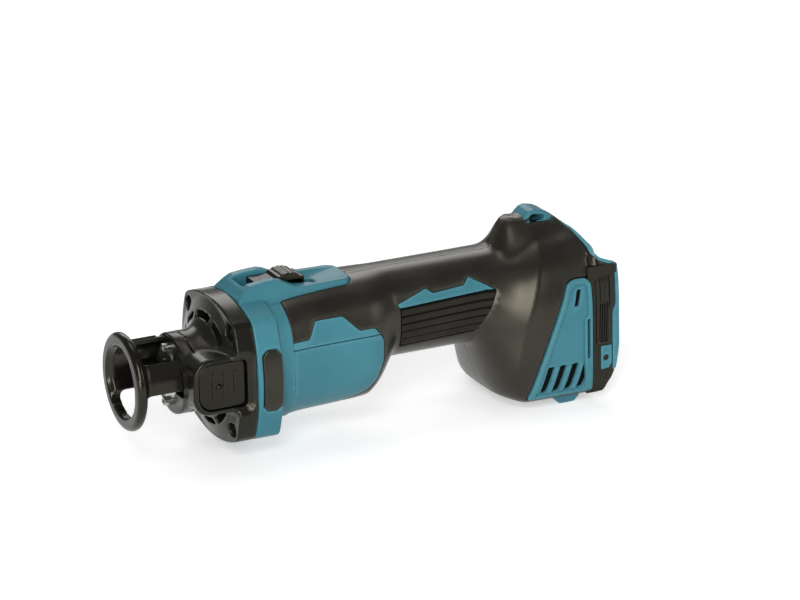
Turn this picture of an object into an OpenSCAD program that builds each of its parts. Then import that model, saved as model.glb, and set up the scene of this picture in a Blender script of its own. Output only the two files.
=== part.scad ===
// Cordless drywall cut-out tool with a barrel grip, drawn without its battery pack.
// Millimetres. X is the spindle axis, the origin is the collet mouth, the bit points to -X and Z is up.

/* [Collet and nut] */
// Diameter of the bit shank that the collet grips
bit_d = 6.35; // [3.2:0.05:6.4]
// Length of the collet
collet_len = 17; // [15:0.5:18]
// Wall of the collet's stem
collet_wall = 2; // [1.7:0.1:2.2]
// Width of the collet nut across its flats
nut_af = 17; // [16.5:0.5:19]
// Length of the collet nut
nut_len = 11; // [9:0.5:12]

/* [Depth guide] */
// Distance from the guide's front face back to the collet mouth
guide_reach = 9; // [7:0.5:14]
// Outer radius of the guide ring
guide_r = 26; // [25:0.5:30]
// Radius of the guide ring's hole
guide_hole_r = 19.5; // [18.5:0.5:20.5]
// Thickness of the guide ring
guide_t = 5.5; // [4.5:0.5:6.5]
// Thickness of the guide's arms
arm_t = 2.4; // [2:0.1:2.6]
// Length of each arm inside the neck as stored
arm_seat = 6; // [5:0.5:7]
// Travel of the guide each way
guide_travel = 4; // [2:0.5:4]

/* [Neck and front cover] */
// Distance from the collet mouth to the neck's face
neck_face = 18.5; // [18:0.5:22]
// Radius of the neck
neck_r = 21.5; // [21.5:0.5:24]
// Length of the neck in front of the flange
neck_len = 24; // [23:0.5:30]
// Length of the cover's flange
cover_len = 9.5; // [9:0.5:14]
// Half size of the front flange and of the ring behind it
flange_half = 38.5; // [38:0.5:42]
// Distance of each corner screw in from the flange's side
corner_inset = 12; // [11:0.5:13]
// Width of the exhaust slots
slot_w = 3.4; // [2:0.2:3.8]

/* [Shaft lock] */
// Width of the button along the tool
lock_w = 26; // [22:0.5:26]
// Height of the button
lock_h = 25; // [22:0.5:26]
// Distance from the spindle axis to the button's face
lock_reach = 33; // [32:0.5:35]
// Travel of the button
lock_travel = 3.4; // [2.5:0.1:3.6]
// Radius of the lock pin
lock_pin_r = 2.4; // [2:0.1:2.6]

/* [Spindle and bearings] */
// Bore of the front bearing
front_bore_d = 15; // [14.5:0.5:15.5]
// Outside diameter of the front bearing
front_brg_d = 24; // [22:0.5:24]
// Width of the front bearing
front_brg_w = 5; // [4:0.5:5]
// Bore of the rear bearing
rear_bore_d = 8; // [6:0.5:8]
// Outside diameter of the rear bearing
rear_brg_d = 19; // [16:0.5:20]
// Width of the rear bearing
rear_brg_w = 6; // [5:0.5:7]

/* [Motor] */
// Outside radius of the stator
stator_r = 24; // [22:0.5:24]
// Length of the stator core
stator_len = 26; // [22:0.5:28]
// Radius of the rotor with its magnets
rotor_r = 12.5; // [11:0.5:13]
// Distance from the rim of the cooling fan to the side of the flange
fan_inset = 9; // [9:0.5:12]
// Number of fan blades
fan_blades = 16; // [10:1:20]

/* [Motor housing] */
// Length of the teal ring behind the front cover
ring_len = 15; // [14.5:0.5:18]
// Length of the motor section behind the ring
motor_len = 54; // [53.5:0.5:62]
// Half width of the motor section
motor_w = 31; // [30.5:0.5:34]
// Top of the motor section above the spindle axis
motor_top = 38.5; // [38:0.5:40]
// Bottom of the motor section below the spindle axis
motor_bottom = 28.5; // [28.5:0.5:32]
// Thickness of the rubber overmould
skin = 1.5; // [1.2:0.1:1.8]
// Wall of the housing under the rubber
wall = 2.2; // [1.8:0.1:2.2]

/* [Grip] */
// Length of the taper from the motor section to the grip
taper_len = 17; // [15:0.5:22]
// Length of the grip
grip_len = 48; // [47:0.5:60]
// Half width of the grip
grip_w = 24.6; // [24:0.2:27]
// Half height of the grip
grip_h = 24.4; // [24.4:0.2:26]
// Height of the grip's axis above the spindle axis
grip_z = 14.6; // [13.6:0.2:14.8]
// Number of grip grooves on each side
groove_count = 6; // [4:1:7]

/* [Switch] */
// Forward travel of the slide switch
switch_travel = 7; // [4:0.5:8]
// Half width of the slider bar
slider_w = 7.4; // [6:0.2:7.6]
// Height of the cheeks above the deck
cheek_h = 6.5; // [4:0.5:8]
// Length of the switch unit in the grip
switch_len = 30; // [26:0.5:30]

/* [Tail] */
// Length of the flare from the grip to the tail
flare_len = 26; // [26:0.5:30]
// Length of the tail behind the flare
tail_len = 33; // [33:0.5:40]
// Half width of the tail
tail_w = 38; // [37.5:0.5:42]
// Top of the tail above the spindle axis
tail_top = 51.5; // [50:0.5:56]
// Bottom of the tail below the spindle axis
tail_bottom = 40.5; // [40:0.5:44]
// Height of each foot under the tail
foot_h = 4; // [2:0.5:6]
// Height of the tether loop above the tail
loop_h = 7; // [6:0.5:9]

/* [Battery rails] */
// Reach of the rail wings behind the tail
wing_len = 16; // [15:0.5:20]
// Top of the rail wings above the spindle axis
wing_top = 31; // [30:0.5:34]
// Thickness of each rail wing
wing_t = 8; // [7:0.5:9]
// Inward reach of each rail lip
lip_w = 4; // [3:0.5:5]
// Thickness of each rail lip
lip_t = 5; // [4:0.5:5.5]
// Tapping radius of the hook screw insert
insert_r = 1.65; // [1.2:0.05:2]

/* [Hidden] */
$fn = 48;
// Sides of the small round features moulded into the shells
small_fn = 16;

// Colours
teal = [0.16, 0.43, 0.48];
black = [0.10, 0.10, 0.10];
rubber = [0.20, 0.19, 0.17];
steel = [0.72, 0.72, 0.74];
dark_steel = [0.30, 0.30, 0.32];
copper = [0.72, 0.42, 0.20];
brass = [0.78, 0.62, 0.30];
board_green = [0.10, 0.34, 0.20];
white = [0.86, 0.86, 0.84];

// Clearances
over = 1;
fit = 0.1;
run = 0.04;
gap = 0.35;
seam = 0.05;

// Collet, nut and spindle nose
bit_r = bit_d / 2;
collet_step = 0.6;
collet_r = bit_r + collet_wall;
collet_tip_r = collet_r - collet_step;
collet_head_r = collet_r + collet_step;
collet_tip_x = 1.8;
collet_head_x = collet_tip_x + 2 * collet_step;
collet_neck_x = collet_head_x + 2 * collet_step;
collet_slit = 0.8;
collet_slit_stop = 5;
collet_slit_len = collet_len - collet_slit_stop;
nut_face = 1;
nut_r = nut_af / sqrt(3);
nut_end = nut_face + nut_len;
nose_x = collet_neck_x + gap;
nose_wall = 1.3;
nose_r = collet_r + nose_wall;
bit_bore_r = bit_r + gap;
bit_bore_end = 45;

// Bearings and journals along the spindle
journal_r = front_bore_d / 2 - run;
front_brg_x = neck_face + fit;
front_brg_end = front_brg_x + front_brg_w;
seat_x = nose_x + nut_len;
collar_rise = 1.6;
collar_r = journal_r + collar_rise;
collar_x = front_brg_end + fit;
lock_wall = 2.4;
lock_x = neck_face + lock_w / 2 + lock_wall + gap;
collar_len = 16;
collar_end = collar_x + collar_len;
shaft_r = rear_bore_d / 2 - run;
fan_seat_rise = 1.5;
fan_seat_r = shaft_r + fan_seat_rise;

// Stations along the tool
cover_x = neck_face + neck_len;
joint_x = cover_x + cover_len;
ring_end = joint_x + ring_len;
motor_end = ring_end + motor_len;
grip_x = motor_end + taper_len;
flare_x = grip_x + grip_len;
tail_x = flare_x + flare_len;
tail_end = tail_x + tail_len;
wing_end = tail_end + wing_len;

// Motor along the spindle
fan_gap = 2.4;
fan_x = joint_x + fan_gap;
fan_r = flange_half - fan_inset;
fan_hub_wall = 3.5;
fan_disc_t = 1.6;
blade_thick = 1.4;
blade_edge = 0.4;
blade_root_share = 0.45;
baffle_t = 1.9;
baffle_gap = 0.6;
ring_slope = 0.19;
ring_step = ring_slope * (flange_half - motor_w);
baffle_x = ring_end - ring_step - wall - fit - baffle_t;
baffle_inset = 6.1;
baffle_r = flange_half - baffle_inset;
baffle_hole_share = 0.6;
fan_len = baffle_x - baffle_gap - fan_x;
stator_gap = 9;
stator_x = ring_end + stator_gap;
stator_end = stator_x + stator_len;
coil_out = 4;
coil_end = stator_end + coil_out;
board_x = coil_end + 2 * fit;
board_t = 1.6;
board_bore_gap = 3;
sensor_w = 4;
sensor_t = 1.4;
sensor_h = 3;
magnet_t = 2;
magnet_gap = 3;
yoke = 4.5;
tooth_w = 5;
shoe_t = 1.6;
shoe_angle = 24;
bore_gap = 0.6;
shoe_r = rotor_r + bore_gap;
coil_w = 8.6;
coil_low = shoe_r + shoe_t + gap;
coil_high = sqrt(pow(stator_r - yoke, 2) - pow(coil_w / 2, 2)) - gap;
rear_brg_x = motor_end - rear_brg_w;
rear_wall = 2.4;

// Shell sections: half width, top, bottom, upper exponent, lower exponent, shear
flange_n = 3.2;
motor_n = 2.6;
grip_n = 2.3;
tail_top_n = 2.7;
tail_low_n = 6.5;
front_swell = 2;
tail_shear = 0.24;
tail_z = (tail_top - tail_bottom) / 2;
section_sides = 28;
// Places of the ribs that carry the stator, the switch unit and the controller
cradle_shares = [0.15, 0.75];
grip_bottom = grip_z - grip_h;
grip_top = grip_z + grip_h;
flange_form = [flange_half, flange_half, -flange_half, flange_n, flange_n, 0];
motor_front_form = [motor_w + front_swell, motor_top - front_swell, -motor_bottom - front_swell,
    motor_n, motor_n, 0];
motor_form = [motor_w, motor_top, -motor_bottom, motor_n, motor_n, 0];
grip_form = [grip_w, grip_top, grip_bottom, grip_n, grip_n, 0];
tail_swell = 0.5;
tail_drop = 1;
tail_front_form = [tail_w - tail_swell, tail_top, -tail_bottom, tail_top_n, tail_low_n, tail_shear];
tail_form = [tail_w, tail_top - tail_drop, -tail_bottom, tail_top_n, tail_low_n, 0];
// Place along the taper, and how far the section has turned into the grip
taper_shares = [[0, 0.05], [0.25, 0.18], [0.5, 0.42], [0.75, 0.75], [1, 1]];
// Place along the flare, then the shares of width, top and bottom
flare_shares = [[0.1, 0.03, 0, 0.02], [0.3, 0.25, 0.01, 0.34], [0.5, 0.55, 0.03, 0.66], [0.7, 0.8, 0.2, 0.87],
    [0.86, 0.93, 0.72, 0.96], [1, 1, 1, 1]];
// Places of the plain stations along the motor section, the grip and the tail
motor_shares = [0.3, 0.65];
grip_shares = [0.5, 0.85];
tail_share = 0.5;
tail_mix_share = 0.55;
motor_mix_share = 0.7;

// Tail fittings
plate_t = 4;
wing_proud = 0.5;
wing_out = tail_w + wing_proud;
wing_in = wing_out - wing_t;
wing_bottom = -tail_bottom - wing_proud;
wing_root = 8;
wing_front = tail_end - wing_root;
wing_heel = 3;
rim_t = 1.6;
wing_corner = 9;
stop_t = 4.4;
strip_t = 1.5;
strip_gap = 0.6;
strip_margin = 4.6;
strip_top_gap = 2.5;
strip_low_gap = 5;
strip_x = tail_end + strip_gap;
strip_w = wing_len - strip_margin;
strip_top = wing_top - strip_top_gap;
strip_bottom = wing_bottom + strip_low_gap;
strip_rib = 0.5;
strip_rib_w = 0.9;
strip_ribs = 5;
hook_share = 0.64;
hook_x = strip_x + strip_w * hook_share;
hook_z = -20.3;
hook_pad_w = 6.5;
hook_pad_h = 12;
insert_wall = 1.2;
insert_out_r = insert_r + insert_wall;
insert_len = 6;
vent_top_w = 13;
vent_rear_gap = 0.3;
vent_reach = 5.2;
vent_low_gap = 1.8;
vent_proud = 0.9;
vent_end = tail_end - vent_rear_gap;
vent_top_x = vent_end - vent_top_w;
vent_top = 23.5;
vent_low_x = tail_x - vent_reach;
vent_low = -tail_bottom + vent_low_gap;
vent_t = 3.4;
vent_out = tail_w + vent_proud;
vent_back = 2.6;
vent_slot = 2.6;
vent_slots = 4;
vent_slot_h = 13;
vent_lean_share = 0.38;
vent_first = 6;
vent_last = 2;
vent_slot_gap = 3;
vent_border = 2;
vent_side_slot = 2;
vent_side_gap = 1.2;
vent_side_low = 20;
vent_side_h = 24;
vent_top_slot = 2.4;
vent_top_slot_x = 4;
vent_top_slot_h = 8;
vent_top_gap = 4;
foot_back = 17;
foot_x = tail_x + foot_back;
foot_y = 26;
foot_r = 5.5;
loop_back = 17;
loop_x = tail_x + loop_back;
loop_w = 7;
loop_len = 15;
loop_strap = 2;
loop_hole_r = 2.6;

// Label panel, accent and deck outlines
label_z = 16.4;
label_rise = 8.8;
label_over = 6.6;
label_end = motor_end + label_over;
label_len = label_end - ring_end;
// Label panel outline from front to rear: share of its length, share of the rise above the label line
label_top_shares = [[0, 0], [0.29, 0], [0.365, 1], [0.62, 1], [0.765, 0], [0.91, 0]];
// Rear edge of the label panel: share of its length, share of the motor section's bottom
label_rear_shares = [[1, 0.28], [1, -0.1], [0.955, -0.4], [0.86, -0.68], [0.68, -0.86], [0.5, -1.2],
    [0, -1.2]];
rubber_gap = 7.6;
rubber_x = ring_end + rubber_gap;
accent_rise = 9;
accent_low = grip_z + accent_rise;
accent_h = 7;
// Accent outline: share of the grip's length, share of the accent's height
accent_shares = [[-0.06, 0.22], [0.33, 0.86], [0.4, 0.5], [0.81, 0.66], [0.89, 1], [1.19, 0], [1.19, -0.02],
    [-0.05, -0.16]];
groove_w = 1.1;
groove_deep = 0.8;
groove_pitch = 3.6;
groove_drop = 4;
// Ends of the first groove as shares of the grip, and how much each next groove is shorter
groove_shares = [0.02, 0.92, 0.03];
deck_w = 15.5;
deck_tail_w = 13;
deck_len = 50;
deck_end = ring_end + deck_len;
deck_rise = 0.9;
deck_sink = 0.5;
deck_z = motor_top - deck_sink;
slider_side_gap = 0.8;
cheek_in = slider_w + slider_side_gap;
cheek_gap = 2;
cheek_x = joint_x + cheek_gap;
cheek_edge = 0.8;
cheek_crown = 1.5;
cheek_len = 34;
// Cheek outline: share of its length, share of its height
cheek_shares = [[0, 0], [0.06, 0.5], [0.38, 0.86], [0.62, 1], [0.76, 0.8], [0.93, 0.24], [1, 0]];
bumper_gap = 3;
bumper_rear_gap = 1.2;
bumper_x = joint_x + bumper_gap;
bumper_w = ring_len - bumper_gap - bumper_rear_gap;
bumper_h = 33;
bumper_z = 0.8;
bumper_t = 2.4;
bumper_proud = 0.8;
bumper_cut = 3;

// Slide switch
slider_back = 14;
slider_x = joint_x + slider_back;
slider_len = 27;
slider_rise = 4.2;
slider_top = motor_top + slider_rise;
slider_lip = 2.6;
slider_flange_w = slider_w + slider_lip;
slider_flange_t = 2.8;
slider_flange_z = motor_top - skin - wall - gap - slider_flange_t;
slot_end_gap = 1;
slot_back = 6;
slot_front = slider_x - switch_travel - slot_end_gap;
slot_rear = slider_x + slider_len + slot_back;
knob_back = 12;
knob_x = slider_x + knob_back;
knob_len = 13;
knob_h = 3;
knob_steps = 4;
knob_gap = 0.3;
link_w = 3;
link_t = 2.6;
link_z = slider_flange_z;
switch_gap = 5;
switch_x = grip_x + switch_gap;
switch_w = 9;
link_drop = 0.8;
switch_top = link_z - link_drop - 2 * gap;
switch_seam = 0.8;
switch_lug = 2;
switch_h = 24;
hook_len = 4;
link_end = switch_x + hook_len;
spring_y = 6.2;
spring_r = 2;
spring_wire = 0.4;
tab_t = 1.5;
spring_x = slider_x + slider_len + tab_t;
spring_len = 17;
spring_turns = 9;
coil_steps = 8;
coil_sides = 6;
spring_room = 0.9;

// Shaft lock
lock_t = 4;
lock_z = 1;
lock_corner = 5;
lock_proud = 2;
lock_floor_rise = 1;
lock_clear = 0.5;
lock_face = lock_reach - lock_proud;
lock_floor = neck_r + lock_floor_rise;
lock_tip = collar_r + lock_clear;
lock_rib = 0.4;
lock_rib_w = 0.9;
lock_rib_share = 0.6;
lock_rib_pitch_share = 0.23;
lock_hole_r = lock_pin_r + gap;
lock_hole_floor = lock_tip - lock_travel - 2 * gap;
lock_spring_gap = 1.3;
lock_spring_r = lock_pin_r + lock_spring_gap;
lock_spring_wire = 0.45;
lock_spring_turns = 4;

// Guide arms and their slots in the neck
neck_skin = 1.3;
arm_gap = 0.2;
arm_out_r = neck_r - neck_skin - arm_gap;
arm_in_r = arm_out_r - arm_t;
arm_end = neck_face + arm_seat;
arm_stop = 0.8;
arm_slot_end = arm_end + guide_travel + arm_stop;
guide_back = guide_t - guide_reach;
guide_round = 1.8;
arm_root = 3;
// Each arm's start and end angle round the spindle axis, from straight down towards +Y
arm_angles = [[56, 170], [230, 279]];
arm_angle_gap = 1.2;

// Retainer plate and small screws
retainer_t = 1.6;
retainer_x = neck_face - retainer_t;
small_head_r = 2.4;
small_head_h = 2.2;
small_shank_r = 1.3;
small_shank_len = 9;
retainer_screw_r = arm_in_r - arm_gap - gap - small_head_r;
retainer_clear = 0.7;
retainer_lap = 0.8;
retainer_hole_r = journal_r + retainer_clear;
retainer_out_r = front_brg_d / 2 + retainer_lap;
socket_r = 1.3;
socket_deep = 1.2;
cover_head_r = 3.4;
cover_head_h = 3;
cover_shank_r = 1.9;
cover_grip = 8;
recess_deep = 3;
cover_shank_len = cover_len + cover_grip;
cover_head_x = cover_x + recess_deep;
corner_pos = flange_half - corner_inset;
corner_boss_wall = 2.6;
corner_boss_r = cover_shank_r + corner_boss_wall;
bore_clear = 1;
chamber_deep = 4;
chamber_gap = 2;
chamber_r = fan_r + chamber_gap;
dish_len = 6.5;
dish_w = 7.5;
dish_r = neck_r + dish_w;
band_back = 2.2;
band_x = cover_x + band_back;
band_inset = 1.6;
slot_out = 4.5;
slot_r = neck_r + slot_out;
// Exhaust slots: start and end angle of each, from straight down towards +Y
exhaust_angles = [[144, 174], [186, 216], [100, 124], [62, 84], [6, 30], [330, 354]];

// Housing screws: place along the tool, and height
boss_r = 4.9;
housing_head_r = 3.4;
housing_head_h = 3;
housing_shank_r = 1.8;
housing_head_y = 13;
housing_tip_y = -9;
pilot_gap = 1;
motor_boss_gap = 1;
motor_boss_rise = 10.4;
grip_boss_back = 9;
grip_boss_up = 9.8;
grip_boss_gap = 1.5;
grip_boss_rise = 7.4;
tail_boss_gap = 9.5;
tail_boss_back = 11;
tail_boss_drop = 11;
housing_screw_places = [[rear_brg_x - motor_boss_gap, -motor_bottom + motor_boss_rise],
    [motor_end + grip_boss_back, grip_z + grip_boss_up],
    [grip_x + grip_boss_gap, grip_bottom + grip_boss_rise],
    [flare_x - grip_boss_gap, grip_z + grip_boss_up],
    [tail_x - tail_boss_gap, -tail_bottom + tail_boss_gap],
    [tail_x + tail_boss_back, tail_top - tail_boss_drop]];

// Controller, terminals and leads
control_gap = 1;
control_x = tail_x + control_gap;
control_len = 20;
control_w = 22;
control_rise = 8;
control_low = -tail_bottom + control_rise;
control_fin = 1.4;
control_fin_shares = [0.2, 0.4, 0.6, 0.8];
control_h = 17;
control_top = control_low + control_h;
terminal_x = control_x + control_len + control_gap;
terminal_proud = 1;
terminal_end = tail_end + terminal_proud;
terminal_w = 20;
terminal_low = control_top + gap;
terminal_h = 40;
blade_t = 1.2;
blade_y = 8;
blade_h = 18;
blade_len = 11;
lead_r = 1.4;
lead_sides = 8;
lead_y = 13.6;
lead_pitch = 3.4;
lead_drop = 5.4;
lead_z = grip_z - lead_drop;
lead_room = 0.6;
// Bends of each motor lead: share of the way from the flare to the controller, share of the drop
lead_bend_shares = [[0.04, 0], [0.22, 0.12], [0.4, 0.75], [0.54, 1]];
switch_lead_r = 0.9;
switch_lead_y = 4;
switch_lead_share = 0.62;
// Bends of each switch lead: share of the way from the switch to the controller, share of the drop
switch_bend_shares = [[0.2, 0], [0.45, 0.15], [0.72, 0.85], [0.86, 1]];
power_lead_y = 6;
power_lead_rise = 14;
power_lead_bend = 8;
// Bends of each power lead: share of the bend forwards, share of the bend downwards
power_bend_shares = [[0.5, 0], [0.88, 0.25], [1, 0.75]];

// Helper shapes round and along the spindle axis
module rod(x0, x1, r) { translate([x0, 0, 0]) rotate([0, 90, 0]) cylinder(h = x1 - x0, r = r); }

module tube(x0, x1, r0, r1) {
    difference() {
        rod(x0, x1, r1);
        rod(x0 - over, x1 + over, r0);
    }
}

module lathe() { rotate([0, 90, 0]) rotate_extrude() children(); }

module arc(x0, x1, r0, r1, a0, a1) {
    rotate([0, 90, 0]) rotate([0, 0, a0]) rotate_extrude(angle = a1 - a0)
        translate([r0, x0]) square([r1 - r0, x1 - x0]);
}

module box(low, high) { translate(low) cube(high - low); }

// Extrudes an outline in X and Z from y0 to y1
module across(y0, y1) { translate([0, y1, 0]) rotate([90, 0, 0]) linear_extrude(y1 - y0) children(); }

module cross_rod(x, z, y0, y1, r) { translate([x, y1, z]) rotate([90, 0, 0]) cylinder(h = y1 - y0, r = r); }

module round_rect(w, h, r) {
    square([w - 2 * r, h], center = true);
    square([w, h - 2 * r], center = true);
    for (sx = [-1, 1], sy = [-1, 1])
        translate([sx * (w / 2 - r), sy * (h / 2 - r)]) circle(r);
}

module on_side(right) { mirror([0, right ? 0 : 1, 0]) children(); }

// Shell sections and lofts
function power(v, n) = sign(v) * pow(abs(v), 2 / n);

function section(x, form) =
    let (w = form[0], mid = (form[1] + form[2]) / 2, half = (form[1] - form[2]) / 2)
    [for (i = [0 : section_sides - 1])
        let (a = 360 * i / section_sides, n = sin(a) < 0 ? form[4] : form[3],
            z = mid + half * power(sin(a), n))
        [x + form[5] * (z - tail_z), w * power(cos(a), n), z]];

function shrink(form, d) = [form[0] - d, form[1] - d, form[2] + d, form[3], form[4], form[5]];

function mix(a, b, t) = a + (b - a) * t;

function flare_form(s) = [mix(grip_w, tail_front_form[0], s[1]), mix(grip_top, tail_top, s[2]),
    mix(grip_bottom, -tail_bottom, s[3]), mix(grip_n, tail_top_n, s[1]), mix(grip_n, tail_low_n, s[1]),
    mix(tail_shear / 2, tail_shear, s[0])];

function body_rows(d, front, rear) = [
    [front, shrink(flange_form, d)],
    [ring_end - ring_step - max(0, d - skin), shrink(flange_form, d)],
    [ring_end - max(0, d - skin), shrink(motor_front_form, d)],
    [mix(ring_end, motor_end, motor_shares[0]),
        shrink(mix(motor_front_form, motor_form, motor_mix_share), d)],
    [mix(ring_end, motor_end, motor_shares[1]), shrink(motor_form, d)],
    for (s = taper_shares) [mix(motor_end, grip_x, s[0]), shrink(mix(motor_form, grip_form, s[1]), d)],
    for (s = grip_shares) [mix(grip_x, flare_x, s), shrink(grip_form, d)],
    for (s = flare_shares) [mix(flare_x, tail_x, s[0]), shrink(flare_form(s), d)],
    [mix(tail_x, tail_end, tail_share), shrink(mix(tail_front_form, tail_form, tail_mix_share), d)],
    [rear, shrink(tail_form, d)]];

module loft(rows) {
    rings = len(rows);
    n = section_sides;
    points = [for (r = rows) each section(r[0], r[1])];
    sides = [for (i = [0 : rings - 2], j = [0 : n - 1])
        let (k = (j + 1) % n, a = i * n)
        each [[a + j, a + n + j, a + n + k], [a + j, a + n + k, a + k]]];
    polyhedron(points, concat([[for (j = [0 : n - 1]) j]], sides,
        [[for (j = [n - 1 : -1 : 0]) (rings - 1) * n + j]]));
}

module outer_body() { loft(body_rows(0, joint_x, tail_end)); }
module core_body() { loft(body_rows(skin, joint_x, tail_end)); }
module cavity() { loft(body_rows(skin + wall, joint_x - over, tail_end - plate_t)); }

// A tube along points that turn in X and Z only
function unit(v) = v / norm(v);

function tube_ring(points, i, r, sides) =
    let (last = len(points) - 1, t = unit(points[min(i + 1, last)] - points[max(i - 1, 0)]), b = [0, 1, 0],
        c = unit(cross(t, b)))
    [for (j = [0 : sides - 1]) let (a = 360 * j / sides) points[i] + r * (cos(a) * b + sin(a) * c)];

module tube_mesh(rings, sides) {
    count = len(rings);
    walls = [for (i = [0 : count - 2], j = [0 : sides - 1])
        let (k = (j + 1) % sides, a = i * sides)
        each [[a + j, a + sides + j, a + sides + k], [a + j, a + sides + k, a + k]]];
    polyhedron([for (r = rings) each r], concat([[for (j = [0 : sides - 1]) j]], walls,
        [[for (j = [sides - 1 : -1 : 0]) (count - 1) * sides + j]]));
}

module lead(points, r) {
    tube_mesh([for (i = [0 : len(points) - 1]) tube_ring(points, i, r, lead_sides)], lead_sides);
}

// A coil spring along Z from the origin
module coil(r, wire, length, turns) {
    steps = turns * coil_steps;
    tube_mesh([for (i = [0 : steps])
        let (a = 360 * i / coil_steps, out = [cos(a), sin(a), 0], z = mix(wire, length - wire, i / steps))
        [for (j = [0 : coil_sides - 1]) let (b = -360 * j / coil_sides)
            out * (r + wire * cos(b)) + [0, 0, z + wire * sin(b)]]], coil_sides);
}

module cap_screw(x, y, z, head_r, head_h, shank_r, shank_len) {
    translate([0, y, z]) difference() {
        union() {
            rod(x, x + head_h, head_r);
            rod(x + head_h, x + head_h + shank_len, shank_r);
        }
        translate([x - over, 0, 0]) rotate([0, 90, 0])
            cylinder(h = over + socket_deep, r = socket_r, $fn = 6);
    }
}

// Nose
module guide_section() {
    translate([guide_hole_r, -guide_reach]) {
        w = guide_r - guide_hole_r;
        translate([w / 2, guide_t / 2]) round_rect(w, guide_t, guide_round);
    }
}

module depth_guide() color(black) {
    lathe() guide_section();
    start = guide_back - guide_t / 2;
    root_r = guide_hole_r + guide_round / 2;
    root_end = guide_back + arm_root;
    for (a = arm_angles) rotate([0, 90, 0]) rotate([0, 0, a[0]]) rotate_extrude(angle = a[1] - a[0])
        polygon([[arm_in_r, start], [root_r, start], [root_r, root_end], [arm_out_r, root_end],
            [arm_out_r, arm_end], [arm_in_r, arm_end]]);
}

module flange_outline(half) {
    polygon([for (i = [0 : section_sides * 2 - 1])
        let (a = 180 * i / section_sides) half * [power(cos(a), flange_n), power(sin(a), flange_n)]]);
}

module flange_plate(x0, x1, half) {
    translate([x0, 0, 0]) rotate([90, 0, 90]) linear_extrude(x1 - x0) flange_outline(half);
}

module lock_prism(y0, y1, grow) {
    translate([lock_x, 0, lock_z]) across(-y1, -y0)
        round_rect(lock_w + 2 * grow, lock_h + 2 * grow, lock_corner + grow);
}

module corner_places() {
    for (sy = [-1, 1], sz = [-1, 1]) translate([0, sy * corner_pos, sz * corner_pos]) children();
}

module cover_body() {
    flange_plate(band_x, joint_x, flange_half);
    flange_plate(cover_x, band_x, flange_half - band_inset);
    rod(neck_face, band_x, neck_r);
    translate([cover_x - dish_len, 0, 0]) rotate([0, 90, 0])
        cylinder(h = dish_len + (band_x - cover_x) / 2, r1 = neck_r, r2 = dish_r);
    lock_prism(0, lock_face, lock_wall + gap);
}

module front_cover() color(black) difference() {
    cover_body();
    rod(neck_face - over, front_brg_end + fit, front_brg_d / 2 + fit);
    rod(neck_face, joint_x + over, collar_r + bore_clear);
    rod(joint_x - chamber_deep, joint_x + over, chamber_r);
    for (a = arm_angles)
        arc(neck_face - over, arm_slot_end, arm_in_r - arm_gap, arm_out_r + arm_gap,
            a[0] - arm_angle_gap, a[1] + arm_angle_gap);
    for (a = exhaust_angles)
        arc(cover_x - dish_len, joint_x + over, slot_r, slot_r + slot_w, a[0], a[1]);
    lock_prism(lock_floor, flange_half + over, gap);
    cross_rod(lock_x, 0, -lock_reach, 0, lock_pin_r + fit);
    corner_places() {
        rod(cover_x - over, cover_head_x + cover_head_h, cover_head_r + gap);
        rod(cover_x, joint_x + over, cover_shank_r + fit);
    }
    for (s = [-1, 1]) translate([0, 0, s * retainer_screw_r])
        rod(neck_face - over, neck_face + small_shank_len, small_shank_r);
}

module bearing_retainer() color(steel) difference() {
    union() {
        rod(retainer_x, neck_face, retainer_out_r);
        for (s = [-1, 1]) translate([0, 0, s * retainer_screw_r]) rod(retainer_x, neck_face, small_head_r);
    }
    rod(retainer_x - over, neck_face + over, retainer_hole_r);
    for (s = [-1, 1]) translate([0, 0, s * retainer_screw_r])
        rod(retainer_x - over, neck_face + over, small_shank_r + fit);
}

module retainer_screws() color(steel)
    for (s = [-1, 1])
        cap_screw(retainer_x - small_head_h, 0, s * retainer_screw_r, small_head_r, small_head_h,
            small_shank_r, small_shank_len - retainer_t);

module front_cover_screws() color(dark_steel)
    for (sy = [-1, 1], sz = [-1, 1])
        cap_screw(cover_head_x, sy * corner_pos, sz * corner_pos, cover_head_r, cover_head_h, cover_shank_r,
            cover_shank_len);

// Shaft lock
module shaft_lock_button() color(black) difference() {
    union() {
        lock_prism(lock_reach - lock_t, lock_reach, 0);
        for (s = [-1, 0, 1])
            translate([lock_x + s * lock_w * lock_rib_pitch_share, 0, lock_z])
                across(-lock_reach - lock_rib, -lock_reach)
                    square([lock_rib_w, lock_h * lock_rib_share], center = true);
    }
    cross_rod(lock_x, 0, -lock_reach + lock_t / 2, 0, lock_pin_r);
}

module shaft_lock_pin() color(steel)
    cross_rod(lock_x, 0, -lock_reach + lock_t / 2, -lock_tip, lock_pin_r);

module shaft_lock_spring() color(steel)
    translate([lock_x, -lock_floor, 0]) rotate([90, 0, 0])
        coil(lock_spring_r, lock_spring_wire, lock_reach - lock_t - lock_floor, lock_spring_turns);

// Spindle, collet and bearings
module spindle() color(steel) difference() {
    union() {
        rod(nose_x, seat_x, nose_r);
        rod(seat_x, collar_x, journal_r);
        rod(collar_x, collar_end, collar_r);
        rod(collar_end, stator_x - coil_out, fan_seat_r);
        rod(stator_x - coil_out, rear_brg_x + rear_brg_w, shaft_r);
    }
    rod(nose_x - over, collet_len + gap, collet_r + fit);
    rod(nose_x - over, bit_bore_end, bit_bore_r);
    for (a = [0, 180]) rotate([a, 0, 0]) {
        cross_rod(lock_x, 0, lock_hole_floor, collar_r + over, lock_hole_r);
        rotate([90, 0, 0]) cross_rod(lock_x, 0, lock_hole_floor, collar_r + over, lock_hole_r);
    }
}

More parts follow.
